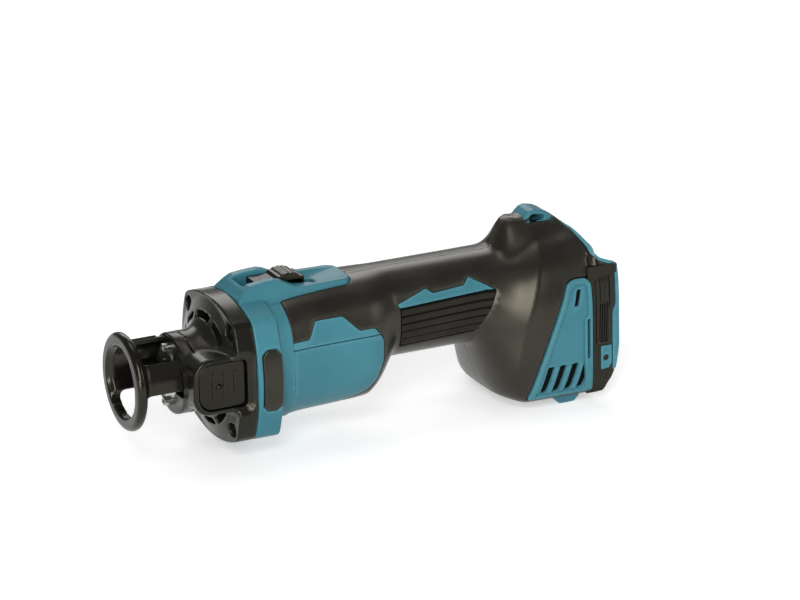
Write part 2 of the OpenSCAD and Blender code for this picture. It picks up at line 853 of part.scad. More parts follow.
module collet() color(steel) difference() {
    lathe() polygon([[bit_r, 0], [collet_tip_r, 0], [collet_tip_r, collet_tip_x],
        [collet_head_r, collet_head_x], [collet_r, collet_neck_x],
        [collet_r, collet_len], [bit_r, collet_len]]);
    for (a = [45, 135]) rotate([a, 0, 0])
        box([-over, -nut_r, -collet_slit / 2], [collet_slit_len, nut_r, collet_slit / 2]);
}

module collet_nut() color(dark_steel) difference() {
    translate([nut_face, 0, 0]) rotate([0, 90, 0]) rotate([0, 0, 30])
        cylinder(h = nut_len, r = nut_r, $fn = 6);
    rod(nut_face - over, nut_end, collet_tip_r + gap);
    lathe() polygon([[0, collet_tip_x], [collet_tip_r + gap, collet_tip_x],
        [collet_head_r + gap, collet_head_x], [nose_r + run, collet_neck_x],
        [nose_r + run, nut_end + over], [0, nut_end + over]]);
}

module bearing(x, w, bore_r, out_r) {
    mid = (bore_r + out_r) / 2;
    band = (out_r - bore_r) / 6;
    dish = w / 12;
    difference() {
        tube(x, x + w, bore_r, out_r);
        tube(x - over, x + dish, mid - band, mid + band);
        tube(x + w - dish, x + w + over, mid - band, mid + band);
    }
}

module front_bearing() color(steel) bearing(front_brg_x, front_brg_w, front_bore_d / 2, front_brg_d / 2);
module rear_bearing() color(steel) bearing(rear_brg_x, rear_brg_w, rear_bore_d / 2, rear_brg_d / 2);

// Motor
module cooling_fan() color(black) difference() {
    union() {
        rod(fan_x, fan_x + fan_len, fan_seat_r + fan_hub_wall);
        rod(fan_x, fan_x + fan_disc_t, fan_r);
        for (i = [0 : fan_blades - 1]) rotate([360 * i / fan_blades, 0, 0])
            box([fan_x, fan_r * blade_root_share, 0], [fan_x + fan_len, fan_r - blade_edge, blade_thick]);
    }
    rod(fan_x - over, fan_x + fan_len + over, fan_seat_r + fit);
}

module fan_baffle() color(black) difference() {
    rod(baffle_x, baffle_x + baffle_t, baffle_r);
    rod(baffle_x - over, baffle_x + baffle_t + over, fan_r * baffle_hole_share);
    box([baffle_x - over, -slider_flange_w - 2 * gap, slider_flange_z - 2 * gap],
        [baffle_x + baffle_t + over, slider_flange_w + 2 * gap, flange_half]);
}

module rotor_core() color(dark_steel)
    tube(stator_x, stator_end, shaft_r + fit, rotor_r - magnet_t);

module rotor_magnets() color(steel)
    for (a = [0, 90, 180, 270])
        arc(stator_x, stator_end, rotor_r - magnet_t + fit, rotor_r, a + magnet_gap, a + 90 - magnet_gap);

module tooth_places() { for (i = [0 : 5]) rotate([60 * i, 0, 0]) children(); }

module stator_core() color(dark_steel) difference() {
    tooth_angle = asin(tooth_w / 2 / (stator_r - yoke));
    tube(stator_x, stator_end, shoe_r, stator_r);
    for (a = [0 : 60 : 300]) {
        arc(stator_x - over, stator_end + over, shoe_r + shoe_t, stator_r - yoke,
            a + tooth_angle, a + 60 - tooth_angle);
        arc(stator_x - over, stator_end + over, shoe_r - over, shoe_r + shoe_t + fit,
            a + shoe_angle, a + 60 - shoe_angle);
    }
}

module stator_windings() color(copper)
    tooth_places() difference() {
        box([stator_x - coil_out, -coil_w / 2, coil_low], [coil_end, coil_w / 2, coil_high]);
        box([stator_x - fit, -tooth_w / 2 - fit, coil_low - over], [stator_end + fit, tooth_w / 2 + fit,
            coil_high + over]);
    }

module sensor_board() color(board_green) {
    tube(board_x, board_x + board_t, shaft_r + board_bore_gap, stator_r - yoke);
    for (i = [0 : 2]) rotate([60 * i - 30, 0, 0])
        box([board_x + board_t, -sensor_w / 2, shoe_r],
            [board_x + board_t + sensor_t, sensor_w / 2, shoe_r + sensor_h]);
}

// Housing halves
module label_outline(grow) {
    polygon([for (p = label_top_shares)
            [ring_end + label_len * p[0] + (p[0] > 0.7 ? grow : p[0] > 0.5 ? grow / 2 : -grow / 2),
                label_z + label_rise * p[1] + grow],
        for (p = label_rear_shares) [ring_end + label_len * p[0] + (p[0] > 0.9 ? grow : 0),
            motor_bottom * p[1] - grow]]);
}

module accent_outline(grow) {
    polygon([for (p = accent_shares) [grip_x + grip_len * p[0] + (p[0] > 1 ? grow : p[0] < 0 ? -grow : 0),
        accent_low + accent_h * p[1] + (p[1] > 0 ? grow : -grow)]]);
}

module deck_prism(grow) {
    translate([0, 0, grip_z]) linear_extrude(flange_half + cheek_h) hull() {
        translate([joint_x, -deck_w - grow]) square([ring_len / 2 + cheek_len, 2 * (deck_w + grow)]);
        translate([deck_end - deck_tail_w, 0]) circle(deck_tail_w + grow, $fn = 32);
    }
}

module teal_zones(grow) {
    box([joint_x - over, 0, -tail_bottom], [rubber_x - seam + grow, flange_half + over, tail_top]);
    across(0, flange_half + over) label_outline(grow);
    across(0, flange_half + over) accent_outline(grow);
    deck_prism(grow);
    box([tail_end - rim_t - grow, 0, -tail_bottom - over], [tail_end + over, tail_w + over, tail_top + over]);
}

module cheek_wall() {
    across(cheek_in, deck_w - cheek_edge)
        polygon([for (p = cheek_shares) [cheek_x + cheek_len * p[0], deck_z + (cheek_h + cheek_crown) * p[1]],
            [cheek_x + cheek_len, deck_z - wall], [cheek_x, deck_z - wall]]);
}

module wing_outline(grow) {
    hull() {
        translate([wing_front - grow, wing_top - wing_corner + grow]) square(wing_corner / 4);
        translate([wing_end - wing_corner / 4 + grow, wing_top - wing_corner / 4 + grow])
            circle(wing_corner / 4, $fn = 24);
        translate([wing_end - wing_corner / 2 + grow, -wing_corner]) circle(wing_corner / 2, $fn = 24);
        translate([wing_end - wing_corner - wing_heel + grow, wing_bottom + wing_corner - grow])
            circle(wing_corner, $fn = 32);
        translate([wing_front - grow, wing_bottom - grow]) square(wing_corner / 4);
    }
}

module wing() {
    front = wing_front - over;
    floor_z = wing_bottom + stop_t;
    difference() {
        across(0, wing_out) wing_outline(0);
        box([front, -over, wing_bottom - over], [tail_end - over, wing_in, wing_top + over]);
        box([front, -over, floor_z], [wing_end - lip_t, wing_in, wing_top + over]);
        box([front, -over, floor_z], [wing_end + over, wing_in - lip_w, wing_top + over]);
    }
}

module foot(grow) {
    hull() for (s = [0, 1])
        translate([foot_x + s * foot_r, foot_y, -tail_bottom - foot_h])
            cylinder(h = foot_h + wall + grow, r1 = foot_r - foot_h / 2 + grow, r2 = foot_r + grow, $fn = 24);
}

module tether_loop() {
    top = tail_top + loop_h;
    loop_r = loop_strap + loop_hole_r;
    difference() {
        across(0, loop_w) hull() {
            translate([loop_x - loop_len / 2, tail_top - wall - skin]) square([loop_len, wall]);
            for (s = [-1, 1]) translate([loop_x + s * (loop_len / 2 - loop_r), top - loop_r])
                circle(loop_r, $fn = 24);
        }
        across(-over, loop_w + over) hull() for (s = [-1, 1])
            translate([loop_x + s * (loop_len / 2 - loop_r), top - loop_r]) circle(loop_hole_r, $fn = 24);
    }
}

module vent_outline(grow) {
    polygon([[vent_top_x - grow, vent_top + grow], [vent_end + grow, vent_top + grow],
        [vent_end + grow, vent_low - grow], [vent_low_x - grow, vent_low - grow]]);
}

function vent_x(i) = vent_low_x + vent_first
    + i * (vent_end - vent_low_x - vent_first - vent_last) / vent_slots;

module vent_slot_row(y0, y1) {
    for (i = [0 : vent_slots - 1]) {
        across(y0, y1) hull() for (s = [0, 1])
            translate([vent_x(i) + s * vent_slot_h * vent_lean_share,
                vent_low + vent_slot_gap + s * vent_slot_h]) circle(vent_slot / 2, $fn = 16);
    }
}

module bumper_outline(grow) {
    x0 = bumper_x - grow;
    x1 = bumper_x + bumper_w + grow;
    z0 = bumper_z - bumper_h / 2 - grow;
    z1 = bumper_z + bumper_h / 2 + grow;
    polygon([[x0 + bumper_cut, z0], [x1, z0], [x1, z1], [x0 + bumper_cut, z1], [x0, z1 - 2 * bumper_cut],
        [x0, z0 + 2 * bumper_cut]]);
}

module stator_cradles() {
    for (s = cradle_shares) difference() {
        x = stator_x + stator_len * s;
        box([x, 0, -flange_half], [x + wall, flange_half, flange_half]);
        rod(x - over, x + wall + over, stator_r + fit);
    }
}

module rear_bearing_wall() {
    difference() {
        box([rear_brg_x - fit, 0, -flange_half],
            [rear_brg_x + rear_brg_w + rear_wall, flange_half, flange_half]);
        rod(rear_brg_x - over, rear_brg_x + rear_brg_w + fit, rear_brg_d / 2 + fit);
    }
}

module switch_box(grow) {
    box([switch_x - grow, -switch_w - grow, switch_top - switch_h - grow],
        [switch_x + switch_len + grow, switch_w + grow, switch_top + grow]);
}

module switch_cradles() {
    for (s = cradle_shares) difference() {
        x = switch_x + switch_len * s;
        box([x, 0, -flange_half], [x + wall, grip_w, flange_half]);
        switch_box(fit);
    }
}

module screw_bosses() {
    $fn = small_fn;
    for (p = housing_screw_places) cross_rod(p[0], p[1], 0, tail_w, boss_r);
}

module control_rests() {
    for (s = cradle_shares) {
        x = control_x + control_len * s;
        box([x, 0, -tail_bottom], [x + wall, control_w, control_low - fit]);
    }
}

module spring_post() {
    x = spring_x + spring_len + fit;
    box([x, spring_y - spring_r - tab_t, link_z + link_t / 2 - spring_r],
        [x + tab_t, spring_y + spring_r + tab_t, motor_top]);
}

module passages() {
    box([slot_front - gap, -slider_flange_w - gap, slider_flange_z - gap],
        [slot_rear, slider_flange_w + gap, slider_flange_z + slider_flange_t + 2 * gap]);
    box([slider_x, -link_w - gap, link_z - link_drop - fit],
        [link_end + switch_len, link_w + gap, motor_top - skin - wall + gap]);
    for (s = [-1, 1])
        box([rear_brg_x - over, s * lead_y - lead_r - lead_room, lead_z - lead_r - lead_room],
            [control_x, s * lead_y + lead_r + lead_room, lead_z + 2 * lead_pitch + lead_r + lead_room]);
    half = spring_r + spring_room;
    box([slider_x + slider_len, spring_y - half, link_z + link_t / 2 - half],
        [spring_x + spring_len, spring_y + half, link_z + link_t / 2 + half]);
}

module slider_slot() {
    translate([0, 0, slider_flange_z]) linear_extrude(flange_half) hull() for (x = [slot_front, slot_rear])
        translate([x, -slider_w - gap]) square([over, 2 * (slider_w + gap)]);
}

module screw_holes(right) {
    $fn = small_fn;
    for (p = housing_screw_places) {
        cross_rod(p[0], p[1], -over, right ? housing_head_y + over : pilot_gap - housing_tip_y,
            housing_shank_r + fit);
        if (right)
            cross_rod(p[0], p[1], housing_head_y - housing_head_h, tail_w + over, housing_head_r + gap);
    }
}

module shell_solid() {
    difference() {
        union() {
            core_body();
            intersection() {
                outer_body();
                teal_zones(0);
            }
            intersection() {
                loft(body_rows(-deck_rise, joint_x, tail_end));
                deck_prism(0);
            }
            cheek_wall();
            wing();
            foot(0);
            tether_loop();
            intersection() {
                core_body();
                across(vent_out - vent_t - fit - vent_back, tail_w) vent_outline(vent_border);
            }
        }
        difference() {
            cavity();
            across(vent_out - vent_t - fit - vent_back, tail_w) vent_outline(vent_border);
        }
    }
    intersection() {
        loft(body_rows(skin + wall / 2, joint_x, tail_end));
        union() {
            stator_cradles();
            rear_bearing_wall();
            switch_cradles();
            screw_bosses();
            control_rests();
            spring_post();
            for (s = [-1, 1]) translate([0, corner_pos, s * corner_pos])
                rod(joint_x, ring_end - wall, corner_boss_r, $fn = small_fn);
        }
    }
}

module housing_half(right) {
    on_side(right) difference() {
        shell_solid();
        box([-over, -wing_end, -wing_end], [wing_end + over, seam, wing_end]);
        slider_slot();
        passages();
        screw_holes(right);
        across(vent_out - vent_t - fit, wing_out + over) vent_outline(fit);
        vent_slot_row(0, wing_out);
        across(flange_half + bumper_proud - bumper_t - fit, flange_half + over) bumper_outline(fit);
        box([tail_end - plate_t - over, -over, terminal_low - fit],
            [tail_end + over, terminal_w + fit, terminal_low + terminal_h + fit]);
        box([terminal_x - over, -over, terminal_low - fit],
            [tail_end, terminal_w + fit, terminal_low + terminal_h]);
        box([strip_x - fit, wing_out - strip_t - fit, strip_bottom - fit],
            [strip_x + strip_w + fit, wing_out + over, strip_top + fit]);
        cross_rod(hook_x, hook_z, wing_out - strip_t - insert_len - fit, wing_out + over, insert_out_r + fit,
            $fn = small_fn * 2);
        for (s = [-1, 1]) translate([0, corner_pos, s * corner_pos])
            rod(joint_x - over, cover_head_x + cover_head_h + cover_shank_len + pilot_gap,
                cover_shank_r + fit, $fn = small_fn);
    }
}

module housing_left() color(teal) housing_half(false);
module housing_right() color(teal) housing_half(true);

// Rubber overmould and pads
module grooves() {
    for (i = [0 : groove_count - 1]) {
        z = accent_low - groove_drop - i * groove_pitch;
        across(0, tail_w) hull() for (s = [groove_shares[0], groove_shares[1] - groove_shares[2] * i])
            translate([grip_x + grip_len * s, z]) circle(groove_w / 2, $fn = 12);
    }
}

module overmould_half(right) {
    on_side(right) difference() {
        intersection() {
            outer_body();
            box([rubber_x + seam, seam, -tail_bottom - over],
                [tail_end - rim_t - seam, tail_w + over, tail_top + over]);
        }
        loft(body_rows(skin - 3 * seam, joint_x - over, tail_end + over));
        teal_zones(seam);
        across(vent_out - vent_t - fit, wing_out + over) vent_outline(seam);
        across(wing_in - over, wing_out + over) wing_outline(seam);
        foot(2 * seam);
        box([loop_x - loop_len / 2 - seam, -over, tail_z],
            [loop_x + loop_len / 2 + seam, loop_w + seam, tail_top * 2]);
        for (p = housing_screw_places) if (right)
            cross_rod(p[0], p[1], 0, tail_w + over, housing_head_r + gap, $fn = small_fn);
        difference() {
            grooves();
            loft(body_rows(groove_deep, joint_x, tail_end));
        }
    }
}

module overmould_left() color(rubber) overmould_half(false);
module overmould_right() color(rubber) overmould_half(true);

module bumper(right) {
    on_side(right)
        across(flange_half + bumper_proud - bumper_t, flange_half + bumper_proud) bumper_outline(0);
}

module bumper_left() color(rubber) bumper(false);
module bumper_right() color(rubber) bumper(true);

// Slide switch and its works
module switch_slider() color(black) difference() {
    union() {
        box([slider_x, -slider_flange_w, slider_flange_z],
            [slider_x + slider_len, slider_flange_w, slider_flange_z + slider_flange_t]);
        box([slider_x, -slider_w, slider_flange_z], [slider_x + slider_len, slider_w, slider_top]);
        box([slider_x, -link_w, link_z], [link_end, link_w, link_z + link_t]);
        box([switch_x, -link_w, link_z - link_drop], [link_end, link_w, link_z + link_t]);
        box([slider_x + slider_len, 0, link_z],
            [spring_x - fit, spring_y + spring_r, link_z + link_t]);
    }
    box([knob_x - knob_gap, -slider_w - over, slider_top - knob_h / 2],
        [knob_x + knob_len + knob_gap, slider_w + over, slider_top + over]);
}

module switch_knob() color(rubber) {
    step = knob_len / (knob_steps * 2);
    low = slider_top - knob_h / 2 + knob_gap;
    for (i = [0 : knob_steps - 1])
        box([knob_x + i * step, -slider_w, low],
            [knob_x + knob_len - i * step, slider_w, slider_top + knob_h * (i + 1) / knob_steps]);
}

module switch_spring() color(steel)
    translate([spring_x, spring_y, link_z + link_t / 2]) rotate([0, 90, 0])
        coil(spring_r, spring_wire, spring_len, spring_turns);

module switch_unit() color(black) difference() {
    union() {
        switch_box(0);
        box([switch_x + switch_len, -switch_w / 2, switch_top - switch_h],
            [switch_x + switch_len + switch_lug, switch_w / 2, switch_top - switch_h / 2]);
    }
    box([switch_x - over, -switch_w - over, switch_top - (switch_h + switch_seam) / 2],
        [switch_x + switch_seam, switch_w + over, switch_top - (switch_h - switch_seam) / 2]);
}

// Electronics
module controller() color(dark_steel) difference() {
    box([control_x, -control_w, control_low], [control_x + control_len, control_w, control_top]);
    for (s = control_fin_shares)
        box([control_x + control_len * s - control_fin / 2, -control_w - over, control_low - over],
            [control_x + control_len * s + control_fin / 2, control_w + over, control_low + control_h / 4]);
}

module blade(s, end, grow) {
    mid = terminal_low + terminal_h / 2;
    front = terminal_end - blade_len / 2 + fit - grow;
    box([front, s * blade_y - blade_t / 2 - grow, mid - blade_h / 2 - grow],
        [end, s * blade_y + blade_t / 2 + grow, mid + blade_h / 2 + grow]);
}

module terminal_block() color(black) difference() {
    box([terminal_x, -terminal_w, terminal_low], [terminal_end, terminal_w, terminal_low + terminal_h]);
    for (s = [-1, 1]) blade(s, terminal_end + over, fit);
}

module terminal_contacts() color(brass)
    for (s = [-1, 1]) blade(s, terminal_end + blade_len, 0);

// Side fittings of the tail
module dust_cover(right) {
    on_side(right) difference() {
        across(vent_out - vent_t, vent_out) vent_outline(0);
        for (i = [0 : vent_slots - 1]) {
            x = vent_x(i);
            z = vent_low + vent_slot_gap;
            half = vent_slot / 2;
            lean = vent_slot_h * vent_lean_share;
            across(vent_out - vent_t - over, vent_out + over)
                polygon([[x - half, z], [x + half, z], [x + half + lean, z + vent_slot_h],
                    [x - half + lean, z + vent_slot_h]]);
        }
        box([vent_end - vent_side_gap - vent_side_slot, vent_out - vent_t - over, vent_low + vent_side_low],
            [vent_end - vent_side_gap, vent_out + over, vent_low + vent_side_low + vent_side_h]);
        top_x = vent_top_x + vent_top_slot_x;
        box([top_x, vent_out - vent_t - over, vent_top - vent_top_gap - vent_top_slot_h],
            [top_x + vent_top_slot, vent_out + over, vent_top - vent_top_gap]);
    }
}

module dust_cover_left() color(teal) dust_cover(false);
module dust_cover_right() color(teal) dust_cover(true);

module side_strip(right) {
    on_side(right) difference() {
        union() {
            box([strip_x, wing_out - strip_t, strip_bottom], [strip_x + strip_w, wing_out, strip_top]);
            for (i = [0 : strip_ribs - 1])
                translate([strip_x + strip_w * (i + 1) / (strip_ribs + 1), 0, 0])
                    box([-strip_rib_w / 2, wing_out - strip_t, hook_z + hook_pad_h],
                        [strip_rib_w / 2, wing_out + strip_rib, strip_top - strip_rib_w]);
        }
        translate([hook_x, 0, hook_z]) across(wing_out - strip_t - over, wing_out + over)
            square([hook_pad_w, hook_pad_h], center = true);
    }
}

module side_strip_left() color(black) side_strip(false);
module side_strip_right() color(black) side_strip(true);

module hook_insert(right) {
    on_side(right) difference() {
        cross_rod(hook_x, hook_z, wing_out - strip_t - insert_len, wing_out - strip_t, insert_out_r);
        cross_rod(hook_x, hook_z, wing_out - strip_t - insert_len - over, wing_out + over, insert_r);
    }
}

module hook_insert_left() color(brass) hook_insert(false);
module hook_insert_right() color(brass) hook_insert(true);

module housing_screws() color(dark_steel)
    for (p = housing_screw_places) difference() {
        union() {
            cross_rod(p[0], p[1], housing_head_y - housing_head_h, housing_head_y, housing_head_r);
            cross_rod(p[0], p[1], housing_tip_y, housing_head_y - housing_head_h, housing_shank_r);
        }
        cross_rod(p[0], p[1], housing_head_y - socket_deep, housing_head_y + over, socket_r);
    }

// Leads
module motor_leads() color(white)
    for (i = [0 : 2]) {
        z = lead_z + i * lead_pitch;
        end_z = control_top - 1.4 * lead_r - (2 - i) * lead_pitch;
        way = control_x - flare_x - 2 * lead_pitch;
        x = flare_x + i * lead_pitch;
        lead([[board_x + board_t + fit, -lead_y, z], [grip_x, -lead_y, z],
            for (b = lead_bend_shares) [x + way * b[0], -lead_y, mix(z, end_z, b[1])],
            [control_x - fit, -lead_y, end_z]], lead_r);
    }

module power_leads() color(rubber)
    for (s = [-1, 1]) {
        y = s * power_lead_y;
        z = terminal_low + power_lead_rise;
        lead([[terminal_x - fit, y, z],
            for (b = power_bend_shares) [terminal_x - power_lead_bend * b[0], y, z - power_lead_bend * b[1]],
            [terminal_x - power_lead_bend, y, control_top + fit]], lead_r);
    }

module switch_leads() color(white)
    for (s = [-1, 1]) {
        y = s * switch_lead_y;
        z = switch_top - switch_h * switch_lead_share;
        x = switch_x + switch_len + switch_lug;
        end_z = control_top - control_h / 3;
        lead([[x + fit, y, z], for (b = switch_bend_shares) [mix(x, control_x, b[0]), y, mix(z, end_z, b[1])],
            [control_x - fit, y, end_z]], switch_lead_r);
    }

depth_guide();
front_cover();
bearing_retainer();
retainer_screws();
front_cover_screws();
shaft_lock_button();
shaft_lock_pin();
shaft_lock_spring();
spindle();
collet();
collet_nut();
front_bearing();
rear_bearing();
cooling_fan();
fan_baffle();
rotor_core();
rotor_magnets();
stator_core();
stator_windings();
sensor_board();
housing_left();
housing_right();
overmould_left();
overmould_right();
bumper_left();
bumper_right();
switch_slider();
switch_knob();
switch_spring();
switch_unit();
controller();
terminal_block();
terminal_contacts();
dust_cover_left();
dust_cover_right();
side_strip_left();
side_strip_right();
hook_insert_left();
hook_insert_right();
housing_screws();
motor_leads();
power_leads();
switch_leads();
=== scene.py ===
# %% [markdown]
# # A cordless drywall cut-out tool
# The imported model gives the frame: every solid at its real size and place, in metres.
# This lesson dresses that frame. Moulded shells become panels with rounded edges, the nose becomes
# one blended body, and each surface gets a material made of nodes. Lengths are in millimetres until a mesh
# is made.

# %% The frame
import math

import bpy
import numpy as np
from mathutils import Matrix, Vector
from mathutils.geometry import delaunay_2d_cdt
from mathutils.kdtree import KDTree


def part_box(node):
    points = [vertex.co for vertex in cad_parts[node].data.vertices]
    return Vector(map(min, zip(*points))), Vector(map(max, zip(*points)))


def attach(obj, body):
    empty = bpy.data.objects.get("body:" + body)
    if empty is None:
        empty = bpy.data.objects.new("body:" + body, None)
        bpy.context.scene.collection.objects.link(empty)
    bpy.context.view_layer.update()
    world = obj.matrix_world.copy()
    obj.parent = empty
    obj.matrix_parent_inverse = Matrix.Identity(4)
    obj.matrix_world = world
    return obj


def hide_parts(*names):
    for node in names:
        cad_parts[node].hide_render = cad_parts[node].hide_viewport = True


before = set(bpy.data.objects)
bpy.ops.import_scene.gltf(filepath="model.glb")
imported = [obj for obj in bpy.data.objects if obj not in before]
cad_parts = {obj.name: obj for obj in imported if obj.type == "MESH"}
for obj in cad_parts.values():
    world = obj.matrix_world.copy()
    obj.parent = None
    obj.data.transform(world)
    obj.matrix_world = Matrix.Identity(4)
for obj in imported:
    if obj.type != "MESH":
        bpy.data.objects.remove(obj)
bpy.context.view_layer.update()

MM = 0.001


def corners(node):
    """Lowest and highest corner of a solid, in millimetres."""
    return [np.array(c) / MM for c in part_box(node)]


cover_low, cover_high = corners("front_cover")
shell_low, shell_high = corners("housing_left")
NECK_FACE = cover_low[0]
JOINT_X = cover_high[0]
FLANGE = cover_high[2]
WING_END = shell_high[0]
FLOOR_Z = shell_low[2]

# %% [markdown]
# ## The camera
# The photograph was taken from far away with a long lens, from the front left and a little above.
# A camera is an object with a rotation, so its three axes are written down as a matrix: right, up and back.

# %% Camera
CAMERA_PLACE = (-0.80015, -2.0185, 0.80505)
CAMERA_RIGHT = (0.9015, -0.4324, -0.0199)
CAMERA_DOWN = (-0.1609, -0.2920, -0.9428)
CAMERA_LENS = 202.5
CAMERA_SENSOR = 36

right = Vector(CAMERA_RIGHT).normalized()
up = -Vector(CAMERA_DOWN).normalized()
back = right.cross(up)
camera_data = bpy.data.cameras.new("camera")
camera_data.lens = CAMERA_LENS
camera_data.sensor_width = CAMERA_SENSOR
camera_data.clip_end = 20
camera = bpy.data.objects.new("camera", camera_data)
bpy.context.scene.collection.objects.link(camera)
camera.matrix_world = Matrix.Translation(CAMERA_PLACE) @ Matrix((right, up, back)).transposed().to_4x4()
bpy.context.scene.camera = camera
bpy.context.scene.view_settings.view_transform = "Standard"

# %% [markdown]
# ## The body as one surface
# The barrel, the grip and the tail are one smooth skin. Each station along the tool has a rounded section:
# a half width, a top, a bottom and how square its corners are. A cubic that never overshoots joins the
# stations, so the skin has no facets. Its half section runs from the bottom (0) to the top (1).

# %% Stations of the body
RING_END = JOINT_X + 15
MOTOR_END = RING_END + 54
GRIP_X = MOTOR_END + 17
FLARE_X = GRIP_X + 46
CREASE_X = FLARE_X + 24.5
TAIL_END = CREASE_X + 36.5
MOTOR_FRONT = np.array([33, 36.5, -30.5, 2.6, 2.6, 0])
MOTOR = np.array([31, 38.5, -28.5, 2.6, 2.6, 0])
GRIP = np.array([24.6, 39, -9.8, 2.3, 2.3, 0])
TAIL_FRONT = np.array([37.4, 47.2, -38, 2.15, 4.2, 0.37])
TAIL = np.array([38, 48.8, -41.5, 2.4, 9, 0])
WING = np.array([38, 48.8, -41.5, 3.2, 9, 0])
TAIL_Z = 5.5
LOW_SHEAR = 0.7
RIDGE_X = (202, 204, 206, 208.5, 211, 213.5, 217, 221, 226, 232, 238, 244)
RIDGE_RISE = (0, 1.6, 5, 9.6, 12, 12, 9.8, 8, 7, 5.8, 4, 0)
RIDGE_SPAN = (207, 222)
RIDGE_FLAT, RIDGE_FOOT = (3, 6.5), (17, 17)
RIDGE_POWER = 1.6


def mix(a, b, t):
    return a + (b - a) * t


def flare_form(place, wide, top, low):
    """A section between the grip and the tail, with its own share of width, top and bottom."""
    return np.array([
        mix(GRIP[0], TAIL_FRONT[0], wide), mix(GRIP[1], TAIL_FRONT[1], top),
        mix(GRIP[2], TAIL_FRONT[2], low), mix(GRIP[3], TAIL_FRONT[3], wide),
        mix(GRIP[4], TAIL_FRONT[4], wide**2),
        mix(TAIL_FRONT[5] / 3, TAIL_FRONT[5], place**1.5)])


stations = [(RING_END - 8, MOTOR_FRONT), (RING_END, MOTOR_FRONT)]
stations += [(mix(RING_END, MOTOR_END, 0.3), mix(MOTOR_FRONT, MOTOR, 0.7))]
stations += [(mix(RING_END, MOTOR_END, 0.65), MOTOR)]
for place, share in ((0, 0.05), (0.25, 0.18), (0.5, 0.42), (0.75, 0.75), (1, 1)):
    stations.append((mix(MOTOR_END, GRIP_X, place), mix(MOTOR, GRIP, share)))
stations += [(mix(GRIP_X, FLARE_X, share), GRIP) for share in (0.5, 0.85)]
for place, wide, top, low in ((0.1, 0.03, 0, 0.02), (0.3, 0.19, 0, 0.3), (0.5, 0.43, 0.02, 0.6),
                              (0.7, 0.68, 0.18, 0.82), (0.86, 0.87, 0.6, 0.93), (1, 1.01, 1, 1)):
    stations.append((mix(FLARE_X, CREASE_X, place), flare_form(place, wide, top, low)))
for share, settled in ((0.08, 0.35), (0.26, 0.92), (0.5, 0.97)):
    form = mix(TAIL_FRONT, TAIL, share)
    form[[2, 4]] = mix(TAIL_FRONT, TAIL, settled)[[2, 4]]
    stations.append((mix(CREASE_X, TAIL_END, share), form))
stations += [(TAIL_END, TAIL), (TAIL_END + 5, WING), (WING_END + 6, WING)]


def steady_cubic(places, values, x):
    """Cubic curve through the values that keeps their rises and falls, one column at a time."""
    places, values = np.array(places, float), np.array(values, float)
    step = np.diff(places)[:, None]
    slope = np.diff(values, axis=0) / step
    tangent = np.zeros_like(values)
    before, after = slope[:-1], slope[1:]
    same_way = before * after > 0
    total = np.where(same_way, before + after, 1)
    tangent[1:-1] = np.where(same_way, 2 * before * after / total, 0)
    k = np.clip(np.searchsorted(places, x) - 1, 0, len(places) - 2)
    t = ((x - places[k]) / step[k, 0])[:, None]
    h = step[k]
    return ((2 * t**3 - 3 * t**2 + 1) * values[k] + (t**3 - 2 * t**2 + t) * h * tangent[k]
            + (3 * t**2 - 2 * t**3) * values[k + 1] + (t**3 - t**2) * h * tangent[k + 1])


# %% The surface table
ROWS_U = 421
ROWS_V = 261
HALF_GIRTH = 110.0
SECTION_POINTS = 721
NUDGE, FLAT_LIMIT, TRIES = 0.3, 0.02, 4
table_u = np.linspace(stations[0][0], stations[-1][0], ROWS_U)
forms = steady_cubic([s[0] for s in stations], [s[1] for s in stations], table_u)


def half_section(form, x0):
    """Points of one half section on the left side, evenly spaced from the bottom to the top."""
    wide, top, low, n_up, n_low, shear = form
    angle = np.radians(np.linspace(-90, 90, SECTION_POINTS))
    n = np.where(angle < 0, n_low, n_up)
    middle, half = (top + low) / 2, (top - low) / 2
    r = (np.abs(np.cos(angle) / wide) ** n + np.abs(np.sin(angle) / half) ** n) ** (-1 / n)
    y, z = -r * np.cos(angle), middle + r * np.sin(angle)
    way = np.concatenate([[0], np.cumsum(np.hypot(np.diff(y), np.diff(z)))])
    even = np.linspace(0, way[-1], ROWS_V)
    y, z = np.interp(even, way, y), np.interp(even, way, z)
    x = x0 + shear * (z - TAIL_Z) * np.where(z > TAIL_Z, 1, LOW_SHEAR)
    ridge = np.array(RIDGE_RISE)[:, None]
    rise = steady_cubic(RIDGE_X, ridge, np.clip(x, RIDGE_X[0], RIDGE_X[-1]))[:, 0]
    flat, foot = np.interp(x, RIDGE_SPAN, RIDGE_FLAT), np.interp(x, RIDGE_SPAN, RIDGE_FOOT)
    slope = np.clip((foot + y) / (foot - flat), 0, 1)
    return np.stack([x, y, z + np.where(z > 0, rise * slope**RIDGE_POWER * (3 - slope) / 2, 0)], axis=1)


body_points = np.stack([half_section(f, u) for f, u in zip(forms, table_u)])
lengthwise = np.gradient(body_points, axis=0)
across = np.gradient(body_points, axis=1)
body_normals = np.cross(across, lengthwise)
body_normals /= np.linalg.norm(body_normals, axis=2, keepdims=True)
if body_normals[ROWS_U // 2, ROWS_V // 2, 1] > 0:
    body_normals = -body_normals


def look_up(grid, u, v):
    """Value of a table between its points."""
    i = np.clip((u - table_u[0]) / (table_u[1] - table_u[0]), 0, ROWS_U - 1.001)
    j = np.clip(v / HALF_GIRTH * (ROWS_V - 1), 0, ROWS_V - 1.001)
    i0, j0 = i.astype(int), j.astype(int)
    s, t = (i - i0)[:, None], (j - j0)[:, None]
    return ((1 - s) * (1 - t) * grid[i0, j0] + s * (1 - t) * grid[i0 + 1, j0]
            + (1 - s) * t * grid[i0, j0 + 1] + s * t * grid[i0 + 1, j0 + 1])


